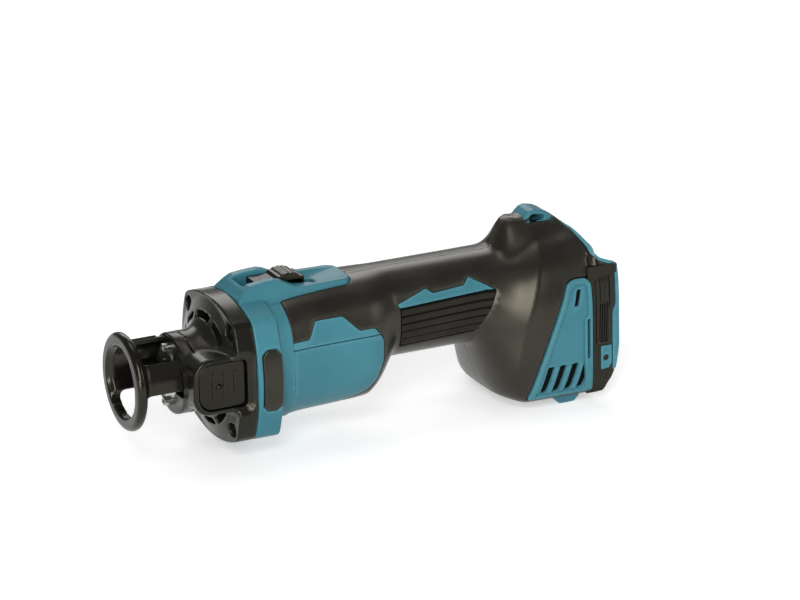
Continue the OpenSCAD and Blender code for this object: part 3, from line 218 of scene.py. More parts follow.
def body(uv):
    """Place and normal of the body's skin on the left side."""
    u, v = uv.T
    normal = look_up(body_normals, u, v)
    return look_up(body_points, u, v), normal / np.linalg.norm(normal, axis=1, keepdims=True)


def find_on_body(points, axes, lowest=0):
    """Surface coordinates of points that are known in two of their three axes."""
    flat = body_points[:, lowest:, axes]
    found = []
    for p in np.asarray(points, float):
        gap = ((flat - p) ** 2).sum(axis=2)
        i, j = np.unravel_index(np.argmin(gap), gap.shape)
        j += lowest
        uv = np.array([table_u[i], j * HALF_GIRTH / (ROWS_V - 1)])
        for _ in range(TRIES):
            near = np.array([uv, uv + (NUDGE, 0), uv + (0, NUDGE)])
            here = body(near)[0][:, axes]
            jacobian = (here[1:] - here[0]).T / NUDGE
            if abs(np.linalg.det(jacobian)) < FLAT_LIMIT:
                break
            uv = uv + np.clip(np.linalg.solve(jacobian, p - here[0]), -1, 1)
        found.append(uv)
    return np.array(found)


def side(points):
    """Surface coordinates of points given as x and z on the left side."""
    return find_on_body(points, [0, 2])


def laid(points, radius=1.2, step=3.0):
    """A closed outline given as x and z on the left side, with its corners rounded."""
    return side(stepped(rounded(points, radius), step))


def top(points):
    """Surface coordinates of points given as x and y on the upper left."""
    return find_on_body(points, [0, 1], ROWS_V // 2)


print("body table:", body_points.shape)
print("from", body_points.min(axis=(0, 1)), "to", body_points.max(axis=(0, 1)))

# %% [markdown]
# ## Moulded panels
# A moulded shell is a set of panels with rounded edges and a fine gap between them. One helper makes them
# all: an outline on the body is filled with triangles that follow it, the edge is rolled over, and the panel
# gets a thickness, so that it is a closed solid. It also stores how near each point is to the edge, for edge
# wear and a painted edge highlight.

# %% Outline helpers
PROBE = 0.2
CORNER_SHARE, SHARP = 0.48, 0.05


def rounded(points, radius=1.5, steps=5):
    """A closed outline with its corners rounded. A point may carry its own radius as a third value."""
    flat = np.array([p[:2] for p in points], float)
    out = []
    for k, p in enumerate(points):
        here, before, after = flat[k], flat[k - 1], flat[(k + 1) % len(flat)]
        r = p[2] if len(p) > 2 else radius
        lead, lag = before - here, after - here
        reach = min(r, CORNER_SHARE * np.linalg.norm(lead), CORNER_SHARE * np.linalg.norm(lag))
        if reach < SHARP:
            out.append(here)
            continue
        a = here + lead / np.linalg.norm(lead) * reach
        b = here + lag / np.linalg.norm(lag) * reach
        for t in np.linspace(0, 1, steps):
            out.append((1 - t) ** 2 * a + 2 * t * (1 - t) * here + t**2 * b)
    return np.array(out)


def stepped(loop, step):
    """The same closed outline with points no further apart than step."""
    out = []
    for a, b in zip(loop, np.roll(loop, -1, axis=0)):
        count = max(1, int(math.ceil(np.linalg.norm(b - a) / step)))
        out += [a + (b - a) * k / count for k in range(count)]
    return np.array(out)


def inside(points, loops):
    """Which points lie inside the outlines, by the even-odd rule."""
    hit = np.zeros(len(points), bool)
    for loop in loops:
        for (x1, y1), (x2, y2) in zip(loop, np.roll(loop, -1, axis=0)):
            if y1 == y2:
                continue
            crosses = (y1 > points[:, 1]) != (y2 > points[:, 1])
            hit ^= crosses & (points[:, 0] < (x2 - x1) * (points[:, 1] - y1) / (y2 - y1) + x1)
    return hit


def area(loop):
    x, y = loop[:, 0], loop[:, 1]
    return (x * np.roll(y, -1) - y * np.roll(x, -1)).sum() / 2


def handedness(loop):
    """1 or -1, by the way an outline with a positive area runs round the body's normal."""
    place, normal = body(loop[:1] + PROBE * np.array([[0, 0], [1, 0], [0, 1]]))
    return np.sign(np.dot(np.cross(place[1] - place[0], place[2] - place[0]), normal[0]))


def inset(loop, distance, inwards):
    """The outline moved over the body by a distance."""
    place, normal = body(loop)
    tangent = np.roll(place, -1, axis=0) - np.roll(place, 1, axis=0)
    tangent /= np.maximum(np.linalg.norm(tangent, axis=1, keepdims=True), 1e-9)
    sideways = np.cross(normal, tangent) * inwards
    move_u = (body(loop + (PROBE, 0))[0] - place) / PROBE
    move_v = (body(loop + (0, PROBE))[0] - place) / PROBE
    uu, uv, vv = (move_u**2).sum(1), (move_u * move_v).sum(1), (move_v**2).sum(1)
    su, sv = (move_u * sideways).sum(1), (move_v * sideways).sum(1)
    det = np.maximum(uu * vv - uv**2, 1e-6)
    return loop + distance * np.stack([(vv * su - uv * sv) / det, (uu * sv - uv * su) / det], axis=1)


# %% The panel maker
EDGE_RINGS = (0.12, 0.5, 1.05)
RIM_REACH = 1.6


def search_tree(points):
    """A tree that finds the nearest of some points."""
    tree = KDTree(len(points))
    for k, p in enumerate(points):
        tree.insert(p, k)
    tree.balance()
    return tree


def panel(loops, depth, edge=0.5, grid=2.0, step=1.2, lift=0.0):
    """Points, faces and rim values of a closed panel on the body.

    The first loop is the outline and the others are holes. The edge is rolled over with a radius."""
    loops = [stepped(np.asarray(loop), step) for loop in loops]
    handed = handedness(loops[0])
    rings = []
    for k, loop in enumerate(loops):
        way = np.sign(area(loop)) * handed * (1 if k == 0 else -1)
        rings.append([inset(loop, edge * share, way) for share in EDGE_RINGS])
    low, high = loops[0].min(axis=0), loops[0].max(axis=0)
    columns = np.arange(low[0], high[0] + grid, grid)
    lines = np.arange(low[1], high[1] + grid, grid)
    field = np.array([(x + (grid / 2 if k % 2 else 0), y) for k, y in enumerate(lines) for x in columns])
    field = field[inside(field, loops)]
    tree = search_tree([(p[0], p[1], 0) for loop in loops for p in loop])
    clear = edge + 0.45 * grid
    field = field[[tree.find((x, y, 0))[2] > clear for x, y in field]] if len(field) else field
    points, edges = [], []
    for loop, inner in zip(loops, rings):
        start = len(points)
        points += [tuple(p) for p in loop]
        edges += [(start + k, start + (k + 1) % len(loop)) for k in range(len(loop))]
        for ring in inner:
            points += [tuple(p) for p in ring[inside(ring, loops)]]
    points += [tuple(p) for p in field]
    flat, _, faces, _, _, _ = delaunay_2d_cdt([Vector(p) for p in points], edges, [], 0, 1e-5)
    flat = np.array([tuple(p) for p in flat])
    faces = np.array([f for f in faces if len(f) == 3])
    faces = faces[inside(flat[faces].mean(axis=1), loops)]
    used = np.unique(faces)
    renumber = np.full(len(flat), -1)
    renumber[used] = np.arange(len(used))
    flat, faces = flat[used], renumber[faces]
    if handed < 0:
        faces = faces[:, ::-1]
    place, normal = body(flat)
    tree = search_tree(np.concatenate([body(stepped(loop, step / 3))[0] for loop in loops]))
    gap = np.array([tree.find(p)[2] for p in place])
    roll = np.clip(1 - gap / edge, 0, 1)
    height = lift - edge * (1 - np.sqrt(1 - roll**2))
    outer = place + normal * height[:, None]
    inner = place + normal * (lift - depth)
    count = len(outer)
    pairs = np.concatenate([faces[:, [0, 1]], faces[:, [1, 2]], faces[:, [2, 0]]])
    known = {(a, b) for a, b in pairs}
    walls = [(b, a, a + count, b + count) for a, b in known if (b, a) not in known]
    rim = np.clip(1 - gap / RIM_REACH, 0, 1)
    return (np.concatenate([outer, inner]),
            [tuple(f) for f in faces] + [tuple(f[::-1] + count) for f in faces] + walls,
            np.concatenate([rim, np.zeros(count)]))


def on_side(hand, parts):
    """Parts made for the left side, or their mirror images on the right."""
    if hand == "left":
        return parts
    return [(points * (1, -1, 1), [f[::-1] for f in faces], rim) for points, faces, rim in parts]


# %% Pieces from parts
SHARP_ANGLE = math.radians(38)
HANDS = ("left", "right")


def put(piece, ride_on, node):
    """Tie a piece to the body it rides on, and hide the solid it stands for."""
    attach(piece, ride_on)
    if node:
        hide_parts(node)


def make_piece(name, parts, material, ride_on, node, slot):
    """One object from several closed parts, riding on a body and standing for a solid."""
    points = np.concatenate([p[0] for p in parts]) * MM
    faces, rims, start = [], [], 0
    for part in parts:
        faces += [tuple(int(k) + start for k in f) for f in part[1]]
        rims.append(part[2])
        start += len(part[0])
    mesh = bpy.data.meshes.new(name)
    mesh.from_pydata([tuple(p) for p in points], [], faces)
    mesh.validate()
    attribute = mesh.attributes.new("rim", "FLOAT", "POINT")
    attribute.data.foreach_set("value", np.concatenate(rims).astype(np.float32))
    mesh.shade_smooth()
    mesh.set_sharp_from_angle(angle=SHARP_ANGLE)
    mesh.materials.append(material)
    piece = bpy.data.objects.new(name, mesh)
    bpy.context.scene.collection.objects.link(piece)
    put(piece, ride_on, node)
    print(name, len(mesh.polygons), "faces")


# %% [markdown]
# ## Blended bodies
# A thick moulding has fillets wherever two forms meet. Bevels on a mesh get lost in such corners, so these
# pieces are written as a field: at each point in space, how far is the surface?
# Two fields joined with a soft minimum meet in a fillet. The surface is then drawn through a fine grid,
# and each point is pulled onto it.

# %% Field helpers
BULGE, FACET_EDGE = 75.0, 1.8


def axes_of(p):
    """The x, y and z of an array of points."""
    return np.moveaxis(p, -1, 0)


def corner_gap(q):
    """Distance to a corner, from the distances to the faces that meet there."""
    return np.linalg.norm(np.maximum(q, 0), axis=-1) + np.minimum(q.max(axis=-1), 0)


def rounded_box(p, centre, half, radius):
    return corner_gap(np.abs(p - np.array(centre)) - (np.array(half) - radius)) - radius


def both(a, b, edge):
    """The part that two fields share, with its edge rounded."""
    return corner_gap(np.stack([a + edge, b + edge], axis=-1)) - edge


def between(value, start, end):
    return np.abs(value - (start + end) / 2) - (end - start) / 2


def rod(p, start, end, radius, edge, y=0, z=0):
    """A round bar along the spindle."""
    return both(np.hypot(p[..., 1] - y, p[..., 2] - z) - radius, between(p[..., 0], start, end), edge)


def join(a, b, fillet):
    h = np.maximum(fillet - np.abs(a - b), 0) / fillet
    return np.minimum(a, b) - h * h * fillet / 4


def carve(a, b, fillet):
    return -join(-a, b, fillet)


def flange_plan(y, z, half):
    """Distance to the outline of the motor flange, a square with bulging sides and crisp corners."""
    a, b = np.abs(y), np.abs(z)
    return both(np.hypot(a, b + BULGE - half) - BULGE, np.hypot(b, a + BULGE - half) - BULGE, FACET_EDGE)


def rounded_plate(a, b, half_a, half_b, radius_low, radius_high):
    """Distance to a rectangle with one corner radius on its low side and one on its high side."""
    r = np.where(a < 0, radius_low, radius_high)
    qa, qb = np.abs(a) - half_a + r, np.abs(b) - half_b + r
    return np.hypot(np.maximum(qa, 0), np.maximum(qb, 0)) + np.minimum(np.maximum(qa, qb), 0) - r


def arc(p, r_low, r_high, angle_low, angle_high, x_low, x_high, edge):
    """A piece of a tube round the spindle. Angles go from straight down towards +Y."""
    r = np.hypot(p[..., 1], p[..., 2])
    turn = np.degrees(np.arctan2(p[..., 1], -p[..., 2]))
    middle, spread = (angle_low + angle_high) / 2, (angle_high - angle_low) / 2
    off = np.abs((turn - middle + 180) % 360 - 180) - spread
    mean = (r_low + r_high) / 2
    gaps = between(r, r_low, r_high), np.radians(off) * mean, between(p[..., 0], x_low, x_high)
    return corner_gap(np.stack(gaps, axis=-1) + edge) - edge


# %% Drawing a field
TINY, PULLS = 0.05, 3


def skin(field, low, high, step):
    """Closed mesh on the zero level of a field, with a rim value where it turns sharply outwards."""
    axes = [np.arange(a, b + step, step) for a, b in zip(low, high)]
    d = field(np.stack(np.meshgrid(*axes, indexing="ij"), axis=-1))
    cells = tuple(n - 1 for n in d.shape)
    total, count = np.zeros(cells + (3,)), np.zeros(cells)
    crossings = []
    for axis in range(3):
        first = [slice(None)] * 3
        second = [slice(None)] * 3
        first[axis], second[axis] = slice(None, -1), slice(1, None)
        d0, d1 = d[tuple(first)], d[tuple(second)]
        cross = (d0 < 0) != (d1 < 0)
        share = np.where(cross, d0 / np.where(cross, d0 - d1, 1), 0)
        crossings.append((cross, d0 < 0))
        others = [k for k in range(3) if k != axis]
        counts = [np.arange(n, dtype=float) for n in cross.shape]
        index = np.stack(np.meshgrid(*counts, indexing="ij"), axis=-1)
        index[..., axis] += share
        for a in (0, 1):
            for b in (0, 1):
                part = [slice(None)] * 3
                part[others[0]] = slice(a, a + cells[others[0]])
                part[others[1]] = slice(b, b + cells[others[1]])
                part = tuple(part)
                total += index[part] * cross[part][..., None]
                count += cross[part]
    live = count > 0
    number = np.full(cells, -1)
    number[live] = np.arange(live.sum())
    points = np.array(low) + total[live] / count[live][:, None] * step
    faces = []
    for axis, (cross, inner) in enumerate(crossings):
        b, c = (axis + 1) % 3, (axis + 2) % 3
        at = np.argwhere(cross)
        in_grid = (at[:, [b, c]] > 0) & (at[:, [b, c]] < np.array(d.shape)[[b, c]] - 1)
        at = at[in_grid.all(axis=1)]
        quad = []
        for db, dc in ((1, 1), (0, 1), (0, 0), (1, 0)):
            cell = at.copy()
            cell[:, b] -= db
            cell[:, c] -= dc
            quad.append(number[tuple(cell.T)])
        quad = np.stack(quad, axis=1)
        flip = ~inner[tuple(at.T)]
        quad[flip] = quad[flip][:, ::-1]
        faces.append(quad)
    faces = np.concatenate(faces)
    for _ in range(PULLS):
        here = field(points)
        slope = np.stack([field(points + way) - field(points - way) for way in TINY * np.eye(3)],
                         axis=1) / (2 * TINY)
        size = np.maximum((slope**2).sum(axis=1), 0.2)
        points = points - slope * np.clip(here / size, -0.5 * step, 0.5 * step)[:, None]
    normal = slope / np.maximum(np.linalg.norm(slope, axis=1, keepdims=True), 1e-6)
    rim = np.clip((field(points - normal) + 1) / 0.5, 0, 1)
    return points, [tuple(f) for f in faces], rim


def field_piece(name, field, low, high, step, *place):
    """One object on the zero level of a field, searched between two corners."""
    make_piece(name, [skin(field, low, high, step)], *place)


# %% [markdown]
# ## Finishes
# Real plastic is never one flat colour. A fine spark-eroded grain breaks up the highlight, and a slow cloud
# shifts the tone. Edges go paler in patches: partly wear where hands and benches rub, partly a painted
# highlight on the rounded edges. Grain and the paler edges are needed by several finishes, so each is a node
# group with its own inputs.


# %% Node helpers
def linear(hexcode):
    """Scene colour of a screen colour such as 4B8591."""
    values = [int(hexcode[k:k + 2], 16) / 255 for k in (0, 2, 4)]
    return tuple(v / 12.92 if v <= 0.04045 else ((v + 0.055) / 1.055) ** 2.4 for v in values) + (1,)


def add_node(tree, kind, **settings):
    node = tree.nodes.new(kind)
    for key, value in settings.items():
        setattr(node, key, value)
    return node


def wire(tree, *links):
    """Link nodes. Each link gives a node and its output, then a node and its input."""
    for start, out, end, into in links:
        tree.links.new(start.outputs[out], end.inputs[into])


def numbers(*labels):
    """Number sockets for a group."""
    return [(label, "NodeSocketFloat") for label in labels]


def new_group(name, kind, inputs, outputs):
    """An empty node group with named sockets. An input may have a first value."""
    group = bpy.data.node_groups.new(name, kind)
    for label, socket_type, *value in inputs:
        socket = group.interface.new_socket(label, in_out="INPUT", socket_type=socket_type)
        if value:
            socket.default_value = value[0]
    for label, socket_type in outputs:
        group.interface.new_socket(label, in_out="OUTPUT", socket_type=socket_type)
    return group, group.nodes.new("NodeGroupInput"), group.nodes.new("NodeGroupOutput")


# %% Grain, and edges with wear and painted highlight
WEAR_AND_HIGHLIGHT_SCALE = 300
grain, grain_in, grain_out = new_group(
    "moulded grain", "ShaderNodeTree", numbers("Grain Scale", "Cloud Scale"), numbers("Height", "Cloud"))
place = add_node(grain, "ShaderNodeTexCoord")
fine = add_node(grain, "ShaderNodeTexNoise")
fine.inputs["Detail"].default_value = 3
slow = add_node(grain, "ShaderNodeTexNoise")
slow.inputs["Detail"].default_value = 4
for noise, scale, out in ((fine, "Grain Scale", "Height"), (slow, "Cloud Scale", "Cloud")):
    wire(grain, (place, "Object", noise, "Vector"), (grain_in, scale, noise, "Scale"),
         (noise, "Fac", grain_out, out))

# Edge mask: partly wear where edges are rubbed, partly a painted highlight on the rounded edges.
wear_and_highlight, wear_and_highlight_in, wear_and_highlight_out = new_group(
    "edge wear", "ShaderNodeTree", numbers("Amount") + [("Scale", "NodeSocketFloat", WEAR_AND_HIGHLIGHT_SCALE)],
    numbers("Mask"))
edge = add_node(wear_and_highlight, "ShaderNodeAttribute", attribute_name="rim")
place = add_node(wear_and_highlight, "ShaderNodeTexCoord")
patch = add_node(wear_and_highlight, "ShaderNodeTexNoise")
patch.inputs["Detail"].default_value = 5
rub_and_highlight = add_node(wear_and_highlight, "ShaderNodeMath", operation="MULTIPLY")
level = add_node(wear_and_highlight, "ShaderNodeMath", operation="MULTIPLY", use_clamp=True)
wire(wear_and_highlight, (place, "Object", patch, "Vector"), (wear_and_highlight_in, "Scale", patch, "Scale"), (edge, "Fac", rub_and_highlight, 0),
     (patch, "Fac", rub_and_highlight, 1), (rub_and_highlight, 0, level, 0), (wear_and_highlight_in, "Amount", level, 1),
     (level, 0, wear_and_highlight_out, "Mask"))


# %% Moulded finishes
def mix_colour(tree, factor, a, b):
    node = add_node(tree, "ShaderNodeMix", data_type="RGBA")
    tree.links.new(factor, node.inputs["Factor"])
    for socket, value in ((node.inputs[6], a), (node.inputs[7], b)):
        if isinstance(value, tuple):
            socket.default_value = value
        else:
            tree.links.new(value, socket)
    return node.outputs[2]


CLOUD_RANGE = (0.35, 0.65)


def moulded(name, dark, pale, worn_and_highlight, rough, grain_scale, grain_depth, cloud, wear_and_highlight_amount, metallic=0.0,
            mirror=0.5, sheen="FFFFFF"):
    """A finish with a cloudy colour, paler edges that are partly wear and partly a painted highlight, and a
    fine grain. Its depth is in metres.
    """
    material = bpy.data.materials.new(name)
    material.use_nodes = True
    tree = material.node_tree
    shader = tree.nodes["Principled BSDF"]
    texture = add_node(tree, "ShaderNodeGroup", node_tree=grain)
    texture.inputs["Grain Scale"].default_value = grain_scale
    texture.inputs["Cloud Scale"].default_value = cloud
    rubbed_and_highlit = add_node(tree, "ShaderNodeGroup", node_tree=wear_and_highlight)
    rubbed_and_highlit.inputs["Amount"].default_value = wear_and_highlight_amount
    spread = add_node(tree, "ShaderNodeMapRange")
    spread.inputs["From Min"].default_value, spread.inputs["From Max"].default_value = CLOUD_RANGE
    base = mix_colour(tree, spread.outputs["Result"], linear(dark), linear(pale))
    # Paler edges: partly rubbed wear, partly a painted highlight on the bevels.
    colour = mix_colour(tree, rubbed_and_highlit.outputs["Mask"], base, linear(worn_and_highlight))
    tree.links.new(colour, shader.inputs["Base Color"])
    gloss = add_node(tree, "ShaderNodeMapRange")
    gloss.inputs["To Min"].default_value, gloss.inputs["To Max"].default_value = rough
    shader.inputs["Metallic"].default_value = metallic
    shader.inputs["Specular IOR Level"].default_value = mirror
    shader.inputs["Specular Tint"].default_value = linear(sheen)
    bump = add_node(tree, "ShaderNodeBump")
    bump.inputs["Distance"].default_value = grain_depth
    wire(tree, (texture, "Cloud", spread, "Value"), (texture, "Cloud", gloss, "Value"),
         (gloss, "Result", shader, "Roughness"), (texture, "Height", bump, "Height"),
         (bump, "Normal", shader, "Normal"))
    return material


# %% The finishes in use
# The third colour of each finish is its pale edge, partly wear and partly a painted highlight.
WARM = "FFF7DF"
teal = moulded("teal shell", "377481", "3F7F8C", "6AA6B1", (0.34, 0.44), 3200, 0.000012, 24, 0.5, mirror=0.3)
rubber = moulded("grip rubber", "1A1916", "24221F", "3E3C35", (0.24, 0.36), 1500, 0.00003, 55, 0.5,
                 mirror=0.46, sheen=WARM)
rib_rubber = moulded("rib rubber", "191815", "22201D", "35332D", (0.4, 0.52), 1500, 0.00003, 55, 0.5,
                     mirror=0.22, sheen=WARM)
black = moulded("black plastic", "0F0F0D", "161613", "3A3934", (0.2, 0.3), 3000, 0.000015, 30, 0.6,
                mirror=0.3, sheen=WARM)
glossy = moulded("guide plastic", "0D0C0B", "141310", "3B3932", (0.16, 0.25), 3000, 0.000006, 30, 0.5,
                 mirror=0.38, sheen=WARM)
# Painted shade: a near-black rough finish for sheets laid where only shadow shows, under the panel gaps and
# under the grip ribs.
painted_shade = moulded("painted shade finish", "0A0A09", "0E0E0D", "121211", (0.6, 0.8), 2000, 0.00002, 30, 0.0, mirror=0.1)
bright_steel = moulded("bright steel", "A9A9A6", "BDBDBA", "D5D5D2", (0.2, 0.34), 900, 0.000006, 90, 0.5, 1.0)
FINISHES = {
    "teal_shell": teal, "black_plastic": black, "rubber": rubber, "steel": bright_steel,
    "dark_steel": moulded("blackened steel", "34332F", "3D3C38", "6A6963", (0.3, 0.42), 1400, 0.000006, 60,
                          0.7, 1.0),
    "copper": moulded("enamelled copper", "8A4A26", "A25A30", "B87040", (0.3, 0.45), 1800, 0.00002, 60,
                      0.3, 1.0),
    "brass": moulded("brass", "9C7C3C", "B08E4A", "C6A765", (0.25, 0.38), 1800, 0.000008, 60, 0.4, 1.0),
    "board": moulded("circuit board", "1E4A30", "245638", "3B6E50", (0.4, 0.55), 1500, 0.00002, 60, 0.3),
    "heat_sink": moulded("cast alloy", "8B8C8B", "9C9D9C", "B4B5B4", (0.4, 0.55), 1600, 0.00002, 60,
                         0.4, 1.0),
    "magnet": moulded("magnet nickel", "7B7B79", "8A8A88", "A2A2A0", (0.25, 0.4), 1600, 0.000008, 60,
                      0.4, 1.0),
    "lead_sleeve": moulded("lead sleeve", "5A2320", "6A2B27", "7E3B36", (0.45, 0.6), 1600, 0.00002, 60, 0.3)}
print("finishes:", [look.name for look in FINISHES.values()])

# %% [markdown]
# ## The moulded shell
# Two clam shells hold the motor. Hard teal plastic shows at the motor, on the accent and along the rear rim;
# soft rubber is moulded over the rest. The outlines are given from the side (x and z) or from above (x and
# y), and the panel maker lays them on the body.

# %% Outlines from the side
PANEL_GAP = 0.45
SEAM_LOW, SEAM_HIGH = 0.0, HALF_GIRTH
RUBBER_FRONT = RING_END + 7.9
LABEL_LOW, LABEL_HIGH, LABEL_LINE = 16.6, 25.4, 12.3
LABEL_TOP = [(RUBBER_FRONT, LABEL_LOW), (84.6, LABEL_LOW), (89.1, LABEL_HIGH), (104.8, LABEL_HIGH),
             (113.6, LABEL_LOW), (122.2, LABEL_LOW), (126, LABEL_LINE)]
LABEL_REAR = [(126, LABEL_LINE), (127.7, 8.6), (127.7, -2.8), (125, -11.4), (119.2, -19.3), (108.2, -24.6)]
LABEL_END = 99.0
COVER = [(231.6, 23.6), (235.4, 25.4), (241.8, 25.4), (244.7, 22.5), (244.7, -37), (206.9, -37)]
REAR_RIM = [(247.1, 43), (248, 40.2), (248.8, 37.4), (251.4, 34.8), (WING_END, 31)]
WING_EDGE = [(WING_END, 3), (WING_END, -14), (260, -22), (258.9, -27.5)]
DECK_EDGE = [(RUBBER_FRONT, -15.9), (114.5, -13.4), (117.6, -10.6), (118.3, -6)]


def grip_outlines(front, rear):
    """The accent, the ribbed field below it and the recess that holds both, from its front to its rear."""
    rise = [(front - 1.4, 24.4), (front + 16.4, 30), (front + 19.7, 27.1), (rear - 17.2, 28.3),
            (rear - 13.5, 31.8)]
    lower = [(rear - 4, 14), (rear - 10.8, 1.4), (front, 0)]
    return {"accent": rise + [(rear, 23.9), (front - 0.2, 21.9)],
            "ribs": [(front, 21.5), (rear - 0.4, 23.4)] + lower,
            "recess": rise + [(rear + 0.2, 23.9)] + lower + [(front, 21.9)]}


def seam(x, v):
    return np.array([[x, v]])


def dense(points, step=4.0):
    """A polyline with extra points on its straight stretches."""
    out = []
    for a, b in zip(points[:-1], points[1:]):
        count = max(1, int(math.hypot(b[0] - a[0], b[1] - a[1]) / step))
        out += [tuple(mix(np.array(a), np.array(b), k / count)) for k in range(count)]
    return out + [points[-1]]


COVER_EDGE = [(245.2, 25.9), (241.9, 25.9), (235.2, 25.9), (231.2, 24.2), (206.2, -37.5), (245.2, -37.5)]
label_edge = side(dense(LABEL_TOP + LABEL_REAR[1:]))
rubber_outline = np.concatenate([
    label_edge[:1], top(DECK_EDGE), seam(118.4, SEAM_HIGH), seam(219.6, SEAM_HIGH),
    top([(219.6, -8.6), (237, -8.6)]), seam(237, SEAM_HIGH), seam(241, SEAM_HIGH),
    top([(241.6, -8), (243.4, -14)]), side([(245.2, 42.6), (246.1, 39.8), (246.6, 36.6), (245.4, 34.6)]),
    side(dense(COVER_EDGE)), seam(245.2, SEAM_LOW), seam(LABEL_END, SEAM_LOW), label_edge[::-1][:-1]])
LINE_ENDS = [(RUBBER_FRONT, LABEL_LINE), (125.8, LABEL_LINE)]
label_upper = np.concatenate([side(dense(LABEL_TOP)), side(dense(LINE_ENDS[::-1]))])
label_lower = np.concatenate([side(dense(LINE_ENDS)), side(dense(LABEL_REAR[1:])), seam(LABEL_END, SEAM_LOW),
                              seam(RUBBER_FRONT, SEAM_LOW)])
print("rubber outline", len(rubber_outline), "points")


# %% Shell panels
def shrunk(loop, distance):
    """A closed outline on the body, moved inwards so that the painted shade sheet below shows as a dark line
    round the panel.
    """
    loop = stepped(loop, 1.2)
    return inset(loop, distance, np.sign(area(loop)) * handedness(loop))


HOUSING_SCREWS = [(114, -18.1), (130, 24.4), (139.5, -2.4), (184.5, 24.4), (202.5, -31), (223, 40.5)]
WELL_R = 4.4
SKIN, TEAL_EDGE, PANEL_CORNER = 2.4, 0.45, 1.2
SEAM_WIDE = 2.2


def round_hole(place, radius, count=24):
    turns = np.linspace(0, 2 * math.pi, count + 1)[:-1]
    return side([(place[0] + radius * math.cos(a), place[1] + radius * math.sin(a)) for a in turns])


rim_outline = np.concatenate([
    seam(241.4, SEAM_HIGH), top([(242, -8), (243.8, -14)]),
    side([(245.6, 42.6), (246.6, 39.8), (247.3, 36.4), (250.6, 33.4), (WING_END - 2, 29.6),
          (WING_END - 2, 8.6), (257.2, 5), (257.2, -27.5)]),
    side(WING_EDGE[::-1]), side(REAR_RIM[::-1]), top([(245.2, -14), (243.4, -8)]), seam(242.8, SEAM_HIGH)])
rim_part = panel([rounded(rim_outline, PANEL_CORNER)], 6.5, edge=0.5, grid=1.6, lift=0.2)
upper_part = panel([shrunk(rounded(label_upper, PANEL_CORNER), PANEL_GAP / 2)], SKIN, edge=TEAL_EDGE)
seam_parts = [panel([np.array([(a, v), (b, v), (b, w), (a, w)])], 1.4, edge=0.02, grid=1.6, lift=0.03)
              for a, b, v, w in ((119.4, 218.6, SEAM_HIGH - SEAM_WIDE, SEAM_HIGH),
                                 (LABEL_END + 1, 244.4, SEAM_LOW, SEAM_LOW + SEAM_WIDE))]
GRIPS = {"left": grip_outlines(139.6, 194.8), "right": grip_outlines(146, 179)}
WELLS = {"left": [], "right": HOUSING_SCREWS}
for hand in HANDS:
    grip = GRIPS[hand]
    wells = [round_hole(place, WELL_R) for place in WELLS[hand]]
    skin_loops = [rounded(rubber_outline, PANEL_CORNER), laid(grip["recess"], 1.0)] + wells[1:]
    rubber_parts = [panel(skin_loops, SKIN, edge=0.55, grid=1.8)] + seam_parts
    # A dark sheet sunk under the grip ribs paints the shade in the grooves between them.
    rib_shade_part = panel([laid(grip["ribs"], 0.6)], 1.2, edge=0.2, grid=2.5, lift=-1.15)
    make_piece("rib_shade_field_" + hand, on_side(hand, [rib_shade_part]), painted_shade, "tool", None, "rubber")
    lower_loops = [shrunk(rounded(label_lower, PANEL_CORNER), PANEL_GAP / 2)] + wells[:1]
    accent_loop = shrunk(laid(grip["accent"], 0.8), PANEL_GAP / 2)
    teal_parts = [upper_part, rim_part, panel(lower_loops, SKIN, edge=TEAL_EDGE),
                  panel([accent_loop], 2.0, grid=1.4, step=0.9)]
    make_piece("overmould_skin_" + hand, on_side(hand, rubber_parts), rubber, "tool", "overmould_" + hand,
               "rubber")
    make_piece("shell_panels_" + hand, on_side(hand, teal_parts), teal, "tool", "housing_" + hand,
               "teal_shell")

# %% [markdown]
# ## The nose
# The front cover is one black piece: a neck that holds the front bearing, a domed flange with bulging sides
# that closes the motor, and a boss for the spindle lock. On the real tool all of these run into each other
# with fillets, so it is drawn as one field. Slots in the neck take the arms of the depth guide.

# %% Front cover
NECK_R, BORE_R, MOTOR_BORE_R, RECESS_R = 21.5, 11.5, 32.5, 3.9
COVER_X = JOINT_X - 10.4
FACE_LEAN, FACE_R = 0.36, 37
LOCK = {"x": 34.25, "z": 1.0, "half_x": 13.0, "half_z": 12.5, "face": -33.0}
LOCK_FLOOR, LOCK_PLAY, LOCK_RADII = -22.6, 0.35, (7.5, 2.6)
ARMS, ARM_R, ARM_PLAY = ((56, 170), (230, 279)), (17.6, 20.0), 0.5
EXHAUST_R = (26.4, 30)
EXHAUST = ((132, 152), (160, 194), (201, 229), (307, 333), (341, 368), (20, 44), (54, 78), (98, 122))
CORNER = FLANGE - 12
CORNERS = [(a, b) for a in (-CORNER, CORNER) for b in (-CORNER, CORNER)]
SCOOP_LEAN = 0.72


def lock_plan(p, grow):
    """Distance to the button's outline, seen from the side."""
    return rounded_plate(p[..., 0] - LOCK["x"], p[..., 2] - LOCK["z"], LOCK["half_x"] + grow,
                         LOCK["half_z"] + grow, *(r + grow / 2 for r in LOCK_RADII))


